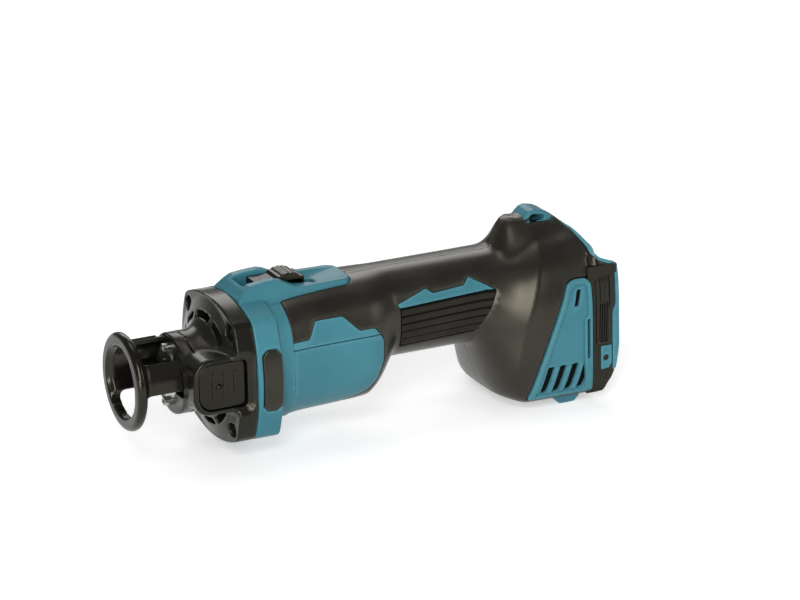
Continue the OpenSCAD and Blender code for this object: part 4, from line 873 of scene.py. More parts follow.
def front_cover_field(p):
    x, y, z = axes_of(p)
    neck = rod(p, NECK_FACE, JOINT_X - 2, NECK_R, 1.2)
    face = COVER_X - (FACE_R - np.minimum(np.hypot(y, z), FACE_R)) * FACE_LEAN
    d = join(neck, both(flange_plan(y, z, FLANGE - 0.1), np.maximum(face - x, x - JOINT_X), 0.9), 7)
    deep = np.maximum(LOCK["face"] - y, 0)
    scoop = np.maximum(lock_plan(p, 1.0) - SCOOP_LEAN * deep, y - LOCK["face"])
    d = carve(d, scoop, 2.4)
    boss = both(lock_plan(p, 2.7), between(y, LOCK["face"] - 0.3, -6), 1.9)
    d = join(d, boss, 4.5)
    d = carve(d, both(lock_plan(p, LOCK_PLAY), between(y, -45, LOCK_FLOOR), 0.3), 0.4)
    groove = between(x, NECK_FACE + 6.2, NECK_FACE + 7)
    d = carve(d, both(between(np.hypot(y, z), NECK_R - 0.7, NECK_R + 3), groove, 0.2), 0.4)
    for a, b in CORNERS:
        d = carve(d, rod(p, COVER_X - 12, JOINT_X - 3.4, RECESS_R, 0.5, a, b), 1.0)
    for low, high in EXHAUST:
        d = carve(d, arc(p, *EXHAUST_R, low, high, 30, JOINT_X + 4, 0.7), 0.8)
    for low, high in ARMS:
        arm_slot = arc(p, ARM_R[0] - ARM_PLAY, ARM_R[1] + ARM_PLAY, low - 2, high + 2, NECK_FACE - 3, 33, 0.3)
        d = carve(d, arm_slot, 0.3)
    d = carve(d, rod(p, NECK_FACE - 2, JOINT_X, BORE_R, 0.2), 0.3)
    return carve(d, rod(p, JOINT_X - 5, JOINT_X + 5, MOTOR_BORE_R, 0.5), 0.5)


reach = FLANGE + 1.5
field_piece("front_cover_body", front_cover_field, (NECK_FACE - 1, -reach, -reach),
            (JOINT_X + 1, reach, reach), 0.7, black, "tool", "front_cover", "black_plastic")

# %% Depth guide
GUIDE_BACK, GUIDE_R, GUIDE_HOLE = -3.5, 26.0, 19.5
TICKS, TICK_DEEP = (12, 32, 192, 212, 302), 0.8
GUIDE_RIDGES, RIDGE_TURN = (148, 160), 4.5
RIDGE_END = NECK_FACE - 4.4
guide_front, guide_reach = corners("depth_guide")


def depth_guide_field(p):
    x, r = p[..., 0], np.hypot(p[..., 1], p[..., 2])
    outer = both(r - GUIDE_R, between(x, guide_front[0], GUIDE_BACK), 2.7)
    d = both(outer, GUIDE_HOLE - r, 0.9)
    for low, high in ARMS:
        arm = arc(p, *ARM_R, low, high, guide_front[0] + 3, guide_reach[0], 0.5)
        d = join(d, arm, 4.5)
    for low in GUIDE_RIDGES:
        d = join(d, arc(p, 19, 20.9, low, low + RIDGE_TURN, GUIDE_BACK, RIDGE_END, 0.4), 0.5)
    for turn in TICKS:
        tick = arc(p, GUIDE_HOLE - 2, GUIDE_HOLE + TICK_DEEP, turn, turn + 3, guide_front[0] - 2,
                   GUIDE_BACK + 2, 0.3)
        d = carve(d, tick, 0.3)
    return d


field_piece("depth_guide_body", depth_guide_field, (guide_front[0] - 1, -GUIDE_R - 1, -GUIDE_R - 1),
            (guide_reach[0] + 1, GUIDE_R + 1, GUIDE_R + 1), 0.6, glossy, "depth_guide", "depth_guide",
            "black_plastic")

# %% Lock button
RIDGES = (-5.2, 0.8, 6.8)
LOCK_BACK, CROWN = -26.6, 0.0022


def lock_button_field(p):
    x, y, z = p[..., 0] - LOCK["x"], p[..., 1], p[..., 2] - LOCK["z"]
    crown = LOCK["face"] + 0.35 + CROWN * (x**2 + z**2)
    d = both(lock_plan(p, 0), np.maximum(crown - y, y - LOCK_BACK), 0.8)
    for place in RIDGES:
        ridge = both(between(x, place - 0.55, place + 0.55), between(z, -7.5, 7.5), 0.4)
        d = join(d, both(ridge, np.maximum(LOCK["face"] - 0.5 - y, y + 30), 0.3), 0.4)
    bump = np.sqrt((x + 2.4) ** 2 + (y - LOCK["face"] - 0.3) ** 2 + z**2) - 1.6
    return join(d, bump, 0.6)


field_piece("lock_button_body", lock_button_field, (20, -35, -13), (48.5, -24, 15), 0.4, black, "shaft_lock",
            "shaft_lock_button", "black_plastic")

# %% [markdown]
# ## Ring, deck and switch
# Behind the nose, a teal ring carries a rubber bumper on each side. A raised deck runs back from it over
# the motor: two cheeks guard the slide switch, and a dished ramp behind it lets the thumb roll off.

# %% Teal ring
BUMPER = {"x0": JOINT_X + 3, "x1": RING_END - 1.2, "z": 0.8, "half": 16.5, "cut": 3.0}


def bumper_plan(p, grow):
    """Distance to the bumper's outline, seen from the side."""
    middle, half = (BUMPER["x0"] + BUMPER["x1"]) / 2, (BUMPER["x1"] - BUMPER["x0"]) / 2 + grow
    a, b = np.abs(p[..., 0] - middle), np.abs(p[..., 2] - BUMPER["z"])
    tall = BUMPER["half"] + grow
    corner = (a + b - (half + tall - BUMPER["cut"])) / math.sqrt(2)
    return np.maximum(np.maximum(a - half, b - tall), corner)


def barrel_field(p, form, grow=0.0):
    wide, high, low, n = form[0] + grow, form[1] + grow, form[2] - grow, form[3]
    middle, half = (high + low) / 2, (high - low) / 2
    gauge = (np.abs(p[..., 1] / wide) ** n + np.abs((p[..., 2] - middle) / half) ** n) ** (1 / n)
    return (gauge - 1) * min(wide, half)


def ring_field(p):
    x, y, z = axes_of(p)
    ring = both(flange_plan(y, z, FLANGE - 0.05), between(x, JOINT_X + 0.2, RING_END - 1.1), 0.9)
    neck = np.maximum(barrel_field(p, MOTOR_FRONT, -0.1), between(x, JOINT_X + 4, RUBBER_FRONT))
    d = join(ring, neck, 4)
    pocket = np.maximum(bumper_plan(p, 0.35), -flange_plan(y, z, FLANGE - 1.6))
    d = carve(d, pocket, 0.4)
    inner = np.where(x < RING_END - 3, flange_plan(y, z, FLANGE - 3), 1e3)
    d = np.maximum(d, -np.minimum(inner, barrel_field(p, MOTOR_FRONT, -2.6)))
    slot = np.maximum(between(y, -9, 9), 30 - z)
    return np.maximum(d, -slot)


field_piece("teal_ring", ring_field, (JOINT_X - 1, -reach, -reach), (RUBBER_FRONT + 1, reach, reach), 0.65,
            teal, "tool", None, "teal_shell")


# %% Bumpers
def bumper_field(p):
    _, y, z = axes_of(p)
    layer = np.maximum(flange_plan(y, z, FLANGE + 0.6), -flange_plan(y, z, FLANGE - 1.5))
    return both(bumper_plan(p, -0.1), layer, 0.7)


for hand, low, high in (("left", -41, -36), ("right", 36, 41)):
    field_piece("bumper_pad_" + hand, bumper_field, (BUMPER["x0"] - 1, low, -18),
                (BUMPER["x1"] + 1, high, 20), 0.5, rubber, "tool", "bumper_" + hand, "rubber")

# %% Switch deck
DECK_Z, DECK_END, DECK_CORNER = 39.8, 118.2, 6.0
DECK_SIDE = ((51, 15.9), (75, 15.9), (114.5, 13.3), (120, 12.9))
CHEEK = ((51, 37.6), (53.4, 39.4), (56, 42), (59.5, 44.4), (66, 45.2), (73.5, 45.6), (77.3, 44.5),
         (81.5, 42.4), (85, 40.7), (90, 40), (98, DECK_Z), (125, DECK_Z))
CHEEK_LEAN, LEAN_Z, LEAN_TALL = 0.42, 38, 8
DECK_FOOT, SLOT_X, SLOT_HALF = 30, (58.0, 95.0), 7.9
THUMB_HOLE, THUMB_FLOOR = (95.6, 5.6), 33
RAMP_Z, RAMP_RISE, RAMP_HALF, RAMP_FLARE = 36.2, 0.175, 8.2, 0.5


def along(x, table):
    """Height at x of a line given as pairs of x and height."""
    return np.interp(x, [t[0] for t in table], [t[1] for t in table])


def deck_field(p):
    x, y, z = p[..., 0], np.abs(p[..., 1]), p[..., 2]
    lean = np.clip(z - LEAN_Z, 0, LEAN_TALL) * CHEEK_LEAN
    plan = both(y - along(x, DECK_SIDE), x - DECK_END, DECK_CORNER) + lean
    d = both(np.maximum(plan, JOINT_X + 0.1 - x), np.maximum(z - along(x, CHEEK), DECK_FOOT - z), 0.7)
    slot = both(y - SLOT_HALF, np.maximum(between(x, *SLOT_X), 20 - z), 0.3)
    d = carve(d, slot, 0.6)
    hole = np.hypot(x - THUMB_HOLE[0], y) - THUMB_HOLE[1]
    d = carve(d, np.maximum(hole, THUMB_FLOOR - z), 0.8)
    ramp = RAMP_Z + (x - THUMB_HOLE[0]) * RAMP_RISE
    trough = both(y - RAMP_HALF - RAMP_FLARE * (z - ramp), np.maximum(ramp - z, THUMB_HOLE[0] - x), 1.8)
    return carve(d, trough, 0.9)


field_piece("switch_deck", deck_field, (JOINT_X - 1, -18, 29), (120, 18, 48), 0.5, teal, "tool", None,
            "teal_shell")

# %% Slide switch
knob_low, knob_high = corners("switch_knob")
BAR = (knob_low[0] - 12.2, knob_high[0] + 2)
BAR_TOP = 43.2
KNOB = ((76, 42.6), (78.5, 44.6), (81.5, 45.7), (84.5, 46), (88, 45.4), (90.5, 43.8), (92.6, 41))
KNOB_PITCH, KNOB_WAVE = 2.7, 0.18
SWITCH_HALF, BAR_HALF_Z = 7.2, 4.8


def slider_field(p):
    return rounded_box(p, ((BAR[0] + BAR[1]) / 2, 0, BAR_TOP - BAR_HALF_Z),
                       ((BAR[1] - BAR[0]) / 2, SWITCH_HALF, BAR_HALF_Z), 0.8)


def knob_field(p):
    x, y, z = axes_of(p)
    crest = along(x, KNOB) + KNOB_WAVE * np.cos(x * 2 * math.pi / KNOB_PITCH)
    plan = np.maximum(between(x, knob_low[0] - 0.8, knob_high[0] + 1.2),
                      between(y, -SWITCH_HALF, SWITCH_HALF))
    return np.maximum(both(plan, z - crest, 0.6), 40 - z)


field_piece("slider_bar", slider_field, (BAR[0] - 1, -9, 32.5), (BAR[1] + 1, 9, 44.5), 0.45, black, "switch",
            "switch_slider", "black_plastic")
field_piece("slider_thumb", knob_field, (knob_low[0] - 2, -9, 39), (knob_high[0] + 2.5, 9, 47.5), 0.4, black,
            "switch", "switch_knob", "black_plastic")

# %% [markdown]
# ## The tail
# The battery slides on from below, between two wings. Each side has a teal dust cover with slots for the
# cooling air, which pulls out for cleaning, and a black wear strip beside the rail with a threaded insert
# for a hook.

# %% Dust covers
SLOT_PITCH, SLOT_LEAN, SLOT_LOW, SLOT_TALL, SLOT_WIDE = 7.1, 5.2, -35, 14.6, 4.0
SLOTS, SLOT_X0, BAR_GAP = 4, 213.6, 0.45


def strip(points):
    """An outline on the body's side with small rounded corners."""
    return rounded(side(points), 0.5, 3)


def leaning(x, wide):
    """Outline of a leaning slot or bar from its lower front corner."""
    high = SLOT_LOW + SLOT_TALL
    return [(x, SLOT_LOW), (x + wide, SLOT_LOW), (x + wide + SLOT_LEAN, high), (x + SLOT_LEAN, high)]


slots = [leaning(SLOT_X0 + SLOT_PITCH * k, SLOT_WIDE) for k in range(SLOTS)]
side_slot = [(241.7, -18.7), (243.2, -18.7), (243.2, 3.4), (241.7, 3.4)]
top_slot = [(234.4, 11), (237.1, 11), (239.3, 19.8), (236.6, 19.8)]
inner_edge = [(233.2, 20.4), (236, 22.4), (241.2, 22.4), (242.4, 20.6), (242.4, 5.6), (240, 3.4),
              (240, -19.6), (240.4, -35.2), (211, -35.2)]
FINE = {"grid": 1.0, "step": 0.8}
heel = [(241.6, -25), (244.6, -25), (244.6, -36.6), (241.6, -36.6)]
cover_parts = [
    panel([laid(COVER, 1.6)] + [strip(s) for s in slots + [side_slot, top_slot]], 2.2, edge=0.3, grid=1.8,
          step=0.9, lift=0.1),
    panel([laid(COVER, 1.6), laid(inner_edge, 1.2), strip(side_slot)], 2.0, edge=0.75, grid=1.2, step=0.8,
          lift=1.4)]
for k in range(1, SLOTS):
    x = SLOT_X0 + SLOT_PITCH * k - (SLOT_PITCH - SLOT_WIDE) + BAR_GAP
    bar_loop = strip(leaning(x, SLOT_PITCH - SLOT_WIDE - 2 * BAR_GAP))
    cover_parts.append(panel([bar_loop], 1.2, edge=0.6, lift=0.8, **FINE))
cover_parts.append(panel([laid(heel, 1.6)], 2.0, edge=1.2, grid=0.9, step=0.7, lift=2.0))
for hand in HANDS:
    make_piece("dust_cover_panel_" + hand, on_side(hand, cover_parts), teal, "dust_cover_" + hand,
               "dust_cover_" + hand, "teal_shell")

# %% Wear strips and hook pads
strip_outline = [(245.6, 38), (247.2, 36.6), (250.8, 33.4), (WING_END - 2.3, 29.4), (WING_END - 2.3, 8.4),
                 (256.8, 4.8), (256.8, -27.9), (258.6, -27.9), (256.2, -33.8), (252, -38), (245.6, -38)]
strip_frame = [(247.4, 29.6), (257, 27.4), (257, 9), (255.6, 6), (255.6, -12.6), (247.4, -12.6)]
strip_field = [(249, 27.4), (255.6, 25.8), (255.6, 9.4), (254.2, 6.4), (254.2, -11), (249, -11)]
strip_block = [(250, 23.4), (254.4, 22.6), (254.4, 11.6), (250, 11.6)]
strip_parts = [
    panel([rounded(side(strip_outline), 1.5)], 3.0, edge=0.4, grid=1.6, lift=-0.5),
    panel([rounded(side(strip_frame), 0.8), rounded(side(strip_field), 0.6)], 1.6, edge=0.4, lift=0.3,
          **FINE),
    panel([laid(strip_block, 0.6)], 1.2, edge=0.4, lift=0.2, **FINE)]
HOOK, HOOK_R = (252.9, -20.3), 1.7
pad = [(250, -13.6), (256.3, -13.6), (256.3, -23.6), (254.6, -26.2), (250, -26.7)]
pad_part = panel([rounded(side(pad), 0.6), round_hole(HOOK, HOOK_R, 19)], 2.0, edge=0.3, grid=1.0, step=0.7,
                 lift=0.25)
for hand in HANDS:
    make_piece("wear_strip_" + hand, on_side(hand, strip_parts), black, "tool", "side_strip_" + hand,
               "black_plastic")
    make_piece("hook_pad_" + hand, on_side(hand, [pad_part]), teal, "tool", None, "teal_shell")

# %% Battery rails
PLATE_X, PLATE_LOW = (241.2, 244.8), 39
BAY_Z, BAY_HALF = (-15.3, 25), 20.2
RAIL_END, RAIL_START = WING_END - 0.6, 243
RAIL_EDGE = ((-41, 249.6), (-38, 253), (-34, 255.8), (-28, 258.2), (-22, 259.4), (-14, RAIL_END))
WING_Y, WING_Z = (30.6, 36.4), (-39.6, 31)
LIP_X, LIP_Y, LIP_Z = 256, (26.5, 34), (-12, 29)
STOP_X, STOP_Z = 250, (-40.6, -36.8)


def rail_field(p):
    x, y, z = p[..., 0], np.abs(p[..., 1]), p[..., 2]
    plate = np.maximum(np.maximum(between(x, *PLATE_X), barrel_field(p, TAIL, -2.2)), -z - PLATE_LOW)
    d = np.maximum(plate, -np.maximum(between(z, *BAY_Z), y - BAY_HALF))
    wing = both(np.maximum(between(y, *WING_Y), x - along(z, RAIL_EDGE)),
                np.maximum(RAIL_START - x, between(z, *WING_Z)), 0.5)
    lip = both(np.maximum(between(y, *LIP_Y), between(x, LIP_X, RAIL_END)), between(z, *LIP_Z), 0.6)
    stop = both(np.maximum(y - LIP_Y[1], between(x, RAIL_START, STOP_X)), between(z, *STOP_Z), 0.6)
    return np.minimum(np.minimum(d, stop), join(wing, lip, 1.0))


field_piece("battery_rails", rail_field, (239, -40, -42), (WING_END + 1, 40, 51), 0.8, black, "tool", None,
            "black_plastic")

# %% Tether loop and feet
LOOP_TOP = ((219.4, 51.6), (221.5, 54.4), (224, 56.6), (226.5, 57.3), (231.8, 56.2), (235, 54.6),
            (237.6, 52.4))
LOOP_STRAP, LOOP_HOLE = 2.4, (223.8, 232.8)


def loop_field(p):
    x, y, z = axes_of(p)
    roof = both(between(x, LOOP_TOP[0][0], LOOP_TOP[-1][0]), between(y, -7.2, 7.2), 1.6)
    above = z - along(x, LOOP_TOP)
    d = both(roof, np.maximum(above, 43 - z), 1.2)
    arch = both(between(x, *LOOP_HOLE), np.maximum(above + LOOP_STRAP, 51.2 - z), 1.2)
    return carve(d, arch, 0.9)


FOOT_LEAN = 0.35


def foot_field(p):
    x, y, z = p[..., 0], np.abs(p[..., 1]), p[..., 2]
    rise = z - FLOOR_Z
    lean = FOOT_LEAN * rise
    plan = np.maximum(between(x, 228.5 - rise, 236.5 + 0.7 * rise), between(y, 24 - lean, 31.5 + lean))
    return both(plan, between(z, FLOOR_Z, -38), 1.2)


field_piece("tether_loop", loop_field, (218, -8.5, 42), (239, 8.5, 59), 0.45, teal, "tool", None,
            "teal_shell")
field_piece("feet", foot_field, (220, -36, FLOOR_Z - 1), (239, 36, -35), 0.6, teal, "tool", None,
            "teal_shell")

# %% Painted shade sheet under the panels
# A near-black sheet below the panels paints the shade that shows in the gaps between them.
shade_sheet_hole = top([(RING_END - 2, -12.5), (117.5, -12.5)])
shade_sheet_outline = np.concatenate([
    seam(RING_END + 1, SEAM_LOW), seam(243, SEAM_LOW),
    side([(248, -36), (248, 30), (248.2, 36.6), (247.2, 40.4), (246.4, 42.8)]),
    top([(244.6, -14), (242.8, -8)]), seam(242.2, SEAM_HIGH), seam(236.8, SEAM_HIGH),
    top([(236.8, -7), (220.2, -7)]), seam(220.2, SEAM_HIGH), seam(117.5, SEAM_HIGH), shade_sheet_hole[::-1],
    seam(RING_END + 1, shade_sheet_hole[0][1])])
shade_sheet = panel([shade_sheet_outline], 0.8, edge=0.2, grid=4.0, step=3.0, lift=-1.7)
for hand in HANDS:
    make_piece("shell_shade_sheet_" + hand, on_side(hand, [shade_sheet]), painted_shade, "tool", None, "black_plastic")

# %% [markdown]
# ## Ribs along lines
# The grip has a field of flat ribs, and the wear strips have fine upright ones. Each rib is a bar with
# rounded edges that follows a line on the body and is sunk until only its top shows. Lines like these are
# quick to draw as edges, and a node tree sweeps a rounded rectangle along every one of them: change one
# input and all the ribs follow.

# %% Node tree for ribs
SHAPE, FINISH = ("Geometry", "NodeSocketGeometry"), ("Finish", "NodeSocketMaterial")
rib_tree, rib_in, rib_out = new_group(
    "ribs along lines", "GeometryNodeTree", [SHAPE, *numbers("Depth", "Height", "Edge"), FINISH], [SHAPE])
lines = add_node(rib_tree, "GeometryNodeMeshToCurve")
outline = add_node(rib_tree, "GeometryNodeCurvePrimitiveQuadrilateral")
fillet = add_node(rib_tree, "GeometryNodeFilletCurve", mode="POLY")
fillet.inputs["Count"].default_value = 4
sweep = add_node(rib_tree, "GeometryNodeCurveToMesh")
sweep.inputs["Fill Caps"].default_value = True
real = add_node(rib_tree, "GeometryNodeRealizeInstances")
paint = add_node(rib_tree, "GeometryNodeSetMaterial")
wire(rib_tree, (rib_in, "Geometry", lines, "Mesh"), (rib_in, "Depth", outline, "Width"),
     (rib_in, "Height", outline, "Height"), (outline, "Curve", fillet, "Curve"),
     (rib_in, "Edge", fillet, "Radius"), (lines, "Curve", sweep, "Curve"),
     (fillet, "Curve", sweep, "Profile Curve"), (sweep, "Mesh", real, "Geometry"),
     (real, "Geometry", paint, "Geometry"), (rib_in, "Finish", paint, "Material"),
     (paint, "Geometry", rib_out, "Geometry"))


def grown(name, points, edges, tree, values, ride_on, node):
    """One plain piece from a node tree run on points and edges in millimetres."""
    mesh = bpy.data.meshes.new(name + "_seed")
    mesh.from_pydata([tuple(np.asarray(p) * MM) for p in points], edges, [])
    piece = bpy.data.objects.new(name, mesh)
    bpy.context.scene.collection.objects.link(piece)
    modifier = piece.modifiers.new("nodes", "NODES")
    modifier.node_group = tree
    for item in tree.interface.items_tree:
        if item.in_out == "INPUT" and item.name in values:
            modifier[item.identifier] = values[item.name]
    evaluated = piece.evaluated_get(bpy.context.evaluated_depsgraph_get())
    grown_mesh = bpy.data.meshes.new_from_object(evaluated)
    piece.modifiers.clear()
    piece.data = grown_mesh
    grown_mesh.shade_smooth()
    grown_mesh.set_sharp_from_angle(angle=SHARP_ANGLE)
    put(piece, ride_on, node)
    print(name, len(grown_mesh.polygons), "faces from nodes")


# %% Grip ribs and strip ribs
GRIP_RIBS = 5
RIB = {"Depth": 3.0, "Height": 3.6, "Edge": 0.8}
RIB_SINK, RIB_REACH = 0.3, 1.1
FINE_RIB = {"Depth": 0.95, "Height": 0.95, "Edge": 0.3}


def line_on_body(points, sink):
    """A line on the body given as x and z, sunk below the skin."""
    place, normal = body(side(dense(points, 3.0)))
    return place - normal * sink


def sized(rib, finish):
    return {**{key: value * MM for key, value in rib.items()}, "Finish": finish}


def joined(routes):
    """Points and edges of several lines."""
    points, edges = [], []
    for route in routes:
        start = len(points)
        points += [tuple(p) for p in route]
        edges += [(start + k, start + k + 1) for k in range(len(route) - 1)]
    return np.array(points), edges


for hand, way in (("left", (1, 1, 1)), ("right", (1, -1, 1))):
    (front, high), (rear, rear_high), (_, bend), (low_rear, low), _ = GRIPS[hand]["ribs"]
    routes = []
    for k in range(GRIP_RIBS):
        share = (k + 0.5) / GRIP_RIBS
        z_rear = mix(rear_high, low, share)
        x_rear = np.interp(z_rear, [low, bend, rear_high], [low_rear, rear - 3.6, rear])
        routes.append(line_on_body([(front + 0.5, mix(high, 0.2, share)), (x_rear + RIB_REACH, z_rear)],
                                   RIB["Depth"] / 2 + RIB_SINK))
    points, edges = joined(routes)
    grown("grip_ribs_" + hand, points * way, edges, rib_tree, sized(RIB, rib_rubber), "tool", None)
    uprights = [line_on_body([(x, 9.6), (x - 0.2, -2), (x - 0.6, -10.4)], FINE_RIB["Depth"] / 2 - 0.15)
                for x in np.arange(250.2, 255, 1.35)]
    points, edges = joined(uprights)
    grown("strip_ribs_" + hand, points * way, edges, rib_tree, sized(FINE_RIB, black), "tool", None)

# %% [markdown]
# ## Screws
# A dozen screws hold the tool together. They differ only in size and direction, so one tree draws the screw,
# a head with a rounded edge and a socket on a plain shank, and puts a copy on every point it is given.

# %% Node tree for screws
SCREW_SIZES = ("Head Radius", "Head Height", "Shank Radius", "Shank Length", "Socket Depth")
screw_tree, screw_in, screw_out = new_group(
    "screws on points", "GeometryNodeTree",
    [SHAPE, *numbers(*SCREW_SIZES), ("Turn", "NodeSocketVector"), FINISH], [SHAPE])


def bar(radius, length, sign):
    """A round bar from the origin up or down the screw's axis."""
    cylinder = add_node(screw_tree, "GeometryNodeMeshCylinder")
    cylinder.inputs["Vertices"].default_value = 30
    half = add_node(screw_tree, "ShaderNodeMath", operation="MULTIPLY")
    half.inputs[1].default_value = sign / 2
    shift = add_node(screw_tree, "ShaderNodeCombineXYZ")
    move = add_node(screw_tree, "GeometryNodeTransform")
    wire(screw_tree, (screw_in, radius, cylinder, "Radius"), (screw_in, length, cylinder, "Depth"),
         (screw_in, length, half, 0), (half, 0, shift, "Z"), (shift, 0, move, "Translation"),
         (cylinder, "Mesh", move, "Geometry"))
    return (move, "Geometry"), (cylinder, "Top")


def raised_face(mesh, face, scale, depth=None, factor=0.0):
    """Pull one face of the head along the axis and shrink it."""
    pull = add_node(screw_tree, "GeometryNodeExtrudeMesh")
    pull.inputs["Individual"].default_value = False
    pull.inputs["Offset Scale"].default_value = 0
    shrink = add_node(screw_tree, "GeometryNodeScaleElements")
    shrink.inputs["Scale"].default_value = scale
    wire(screw_tree, (*mesh, pull, "Mesh"), (*face, pull, "Selection"), (pull, "Mesh", shrink, "Geometry"),
         (pull, "Top", shrink, "Selection"))
    if depth:
        amount = add_node(screw_tree, "ShaderNodeMath", operation="MULTIPLY")
        amount.inputs[1].default_value = factor
        wire(screw_tree, (screw_in, depth, amount, 0), (amount, 0, pull, "Offset Scale"))
    return (shrink, "Geometry"), (pull, "Top")


head, face = bar("Head Radius", "Head Height", 1)
head, face = raised_face(head, face, 0.84, "Head Radius", 0.12)
head, face = raised_face(head, face, 0.62)
head, _ = raised_face(head, face, 0.92, "Socket Depth", -1)
shank, _ = bar("Shank Radius", "Shank Length", -1)
whole = add_node(screw_tree, "GeometryNodeJoinGeometry")
copies = add_node(screw_tree, "GeometryNodeInstanceOnPoints")
real = add_node(screw_tree, "GeometryNodeRealizeInstances")
paint = add_node(screw_tree, "GeometryNodeSetMaterial")
wire(screw_tree, (*head, whole, "Geometry"), (*shank, whole, "Geometry"),
     (screw_in, "Geometry", copies, "Points"), (whole, "Geometry", copies, "Instance"),
     (screw_in, "Turn", copies, "Rotation"), (copies, "Instances", real, "Geometry"),
     (real, "Geometry", paint, "Geometry"), (screw_in, "Finish", paint, "Material"),
     (paint, "Geometry", screw_out, "Geometry"))

# %% Screws of the tool
FORWARD, RIGHT = (0, -math.pi / 2, 0), (-math.pi / 2, 0, 0)
SOCKET_SHARE = 0.6
LARGE_HEAD, SMALL_HEAD = (3.4, 3.0), (2.4, 2.2)


def screws(name, places, head, shank, turn):
    """Screws with a head of radius and height, and a shank of radius and length, standing for a solid."""
    sizes = dict(zip(SCREW_SIZES, (*head, *shank, head[1] * SOCKET_SHARE)))
    values = {**sized(sizes, bright_steel), "Turn": turn}
    grown(name + "_heads", places, [], screw_tree, values, "tool", name)


cover_screw_low, cover_screw_high = corners("front_cover_screws")
retainer_low, retainer_high = corners("retainer_screws")
housing_low, housing_high = corners("housing_screws")
RETAINER_Z = retainer_high[2] - 2.4
screws("front_cover_screws", [(cover_screw_low[0] + 3, a, b) for a, b in CORNERS], LARGE_HEAD,
       (1.6, cover_screw_high[0] - cover_screw_low[0] - 8), FORWARD)
screws("retainer_screws", [(retainer_low[0] + 2.2, 0, z) for z in (-RETAINER_Z, RETAINER_Z)], SMALL_HEAD,
       (1.2, retainer_high[0] - retainer_low[0] - 2.2), FORWARD)
screws("housing_screws", [(x, housing_high[1] - 3, z) for x, z in HOUSING_SCREWS], LARGE_HEAD,
       (1.6, housing_high[1] - housing_low[1] - 3), RIGHT)


# %% Screw wells
def well(place):
    """A cup in the right shell, from its skin down to a screw head."""
    floor_y, count = housing_high[1] - 4.2, 28
    outer_r, inner_r = WELL_R - 0.1, WELL_R - 0.7
    turns = np.linspace(0, 2 * math.pi, count + 1)[:-1]
    round_way = np.stack([np.cos(turns), np.sin(turns)], axis=1)
    mouth = [-body(side(np.array(place) + r * round_way))[0][:, 1] - sink
             for r, sink in ((outer_r, 0.5), (inner_r, 0.7))]
    rings = [(0, floor_y - 1), (outer_r, floor_y - 1), (outer_r, mouth[0]), (inner_r, mouth[1]),
             (inner_r, floor_y), (0, floor_y)]
    points = np.concatenate([np.stack([place[0] + r * round_way[:, 0], np.broadcast_to(y, count),
                                       place[1] + r * round_way[:, 1]], axis=1) for r, y in rings])
    faces = []
    for k in range(0, (len(rings) - 1) * count, count):
        for i in range(count):
            after = (i + 1) % count
            faces.append((k + i, k + after, k + count + after, k + count + i))
    return points, faces, np.zeros(len(points))


make_piece("screw_wells", [well(place) for place in HOUSING_SCREWS], black, "tool", None, "black_plastic")

# %% [markdown]
# ## Floor and light
# A white table. The main light is a tall softbox at the front left, near the camera's direction, with a small
# low one further left. Weak lamps overhead, at the right and at the back soften the shadows. The table looks
# white because it adds a little light of its own for the camera and for mirrors, so the shadow stays.


# %% Floor
def seen_directly(tree):
    """1 for rays from the camera, a mirror or glass, and 0 for light that spreads."""
    path = add_node(tree, "ShaderNodeLightPath")
    mirror = add_node(tree, "ShaderNodeMath", operation="MAXIMUM")
    seen = add_node(tree, "ShaderNodeMath", operation="MAXIMUM")
    wire(tree, (path, "Is Glossy Ray", mirror, 0), (path, "Is Transmission Ray", mirror, 1),
         (path, "Is Camera Ray", seen, 0), (mirror, 0, seen, 1))
    return seen


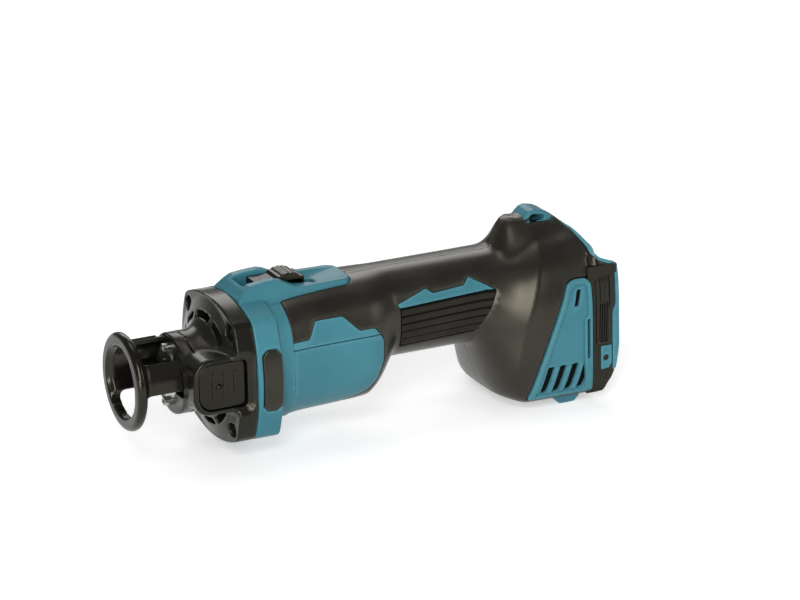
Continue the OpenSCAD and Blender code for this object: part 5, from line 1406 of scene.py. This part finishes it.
FLOOR_REACH = 6
FLOOR_GLOW = 0.45
FLOOR_COLOUR = (0.88, 0.88, 0.88, 1)
FLOOR_CORNERS = ((-1, -1), (1, -1), (1, 1), (-1, 1))
floor_mesh = bpy.data.meshes.new("floor")
floor_mesh.from_pydata([(a * FLOOR_REACH, b * FLOOR_REACH, FLOOR_Z * MM) for a, b in FLOOR_CORNERS], [],
                       [(0, 1, 2, 3)])
floor = bpy.data.objects.new("floor", floor_mesh)
bpy.context.scene.collection.objects.link(floor)
floor_look = bpy.data.materials.new("studio floor")
floor_look.use_nodes = True
floor_tree = floor_look.node_tree
floor_shader = floor_tree.nodes["Principled BSDF"]
floor_shader.inputs["Base Color"].default_value = FLOOR_COLOUR
floor_shader.inputs["Roughness"].default_value = 0.9
floor_shader.inputs["Specular IOR Level"].default_value = 0
floor_shader.inputs["Emission Color"].default_value = (1, 1, 1, 1)
glow = add_node(floor_tree, "ShaderNodeMath", operation="MULTIPLY")
glow.inputs[1].default_value = FLOOR_GLOW
wire(floor_tree, (seen_directly(floor_tree), 0, glow, 0), (glow, 0, floor_shader, "Emission Strength"))
floor_mesh.materials.append(floor_look)


# %% Lamps
def lamp(name, place, aim, size, power):
    data = bpy.data.lights.new(name, "AREA")
    data.shape = "RECTANGLE"
    data.size, data.size_y = size
    data.energy = power
    lamp_object = bpy.data.objects.new(name, data)
    lamp_object.location = place
    lamp_object.rotation_euler = (Vector(aim) - Vector(place)).to_track_quat("-Z", "Y").to_euler()
    bpy.context.scene.collection.objects.link(lamp_object)
    print(name, power, "W")


MIDDLE = (0.12, 0, 0)
lamp("overhead softbox", (0.15, 0.3, 1.35), MIDDLE, (0.8, 0.5), 2.5)
lamp("front softbox", (-1.15, -2.2, 1.36), MIDDLE, (0.9, 1.9), 54)
lamp("low softbox", (-1.25, -1.15, 0.14), MIDDLE, (0.3, 0.26), 5.5)
lamp("right fill", (1.1, -1.1, 0.6), MIDDLE, (0.5, 0.8), 3)
lamp("back fill", (0.55, 1.35, 0.9), MIDDLE, (1.2, 0.7), 8)

# %% World
WORLD_LIGHT = 0.2
world = bpy.data.worlds.new("studio")
world.use_nodes = True
bpy.context.scene.world = world
sky = world.node_tree.nodes["Background"]
sky.inputs["Color"].default_value = (1, 1, 1, 1)
sky.inputs["Strength"].default_value = WORLD_LIGHT

# %% Finishes of the solids that show
for name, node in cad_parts.items():
    looks = [m.name if m else None for m in node.data.materials]
    print(name, looks)
    for k, look in enumerate(looks):
        key = look.split(".")[0] if look else ""
        if key in FINISHES:
            node.data.materials[k] = FINISHES[key]
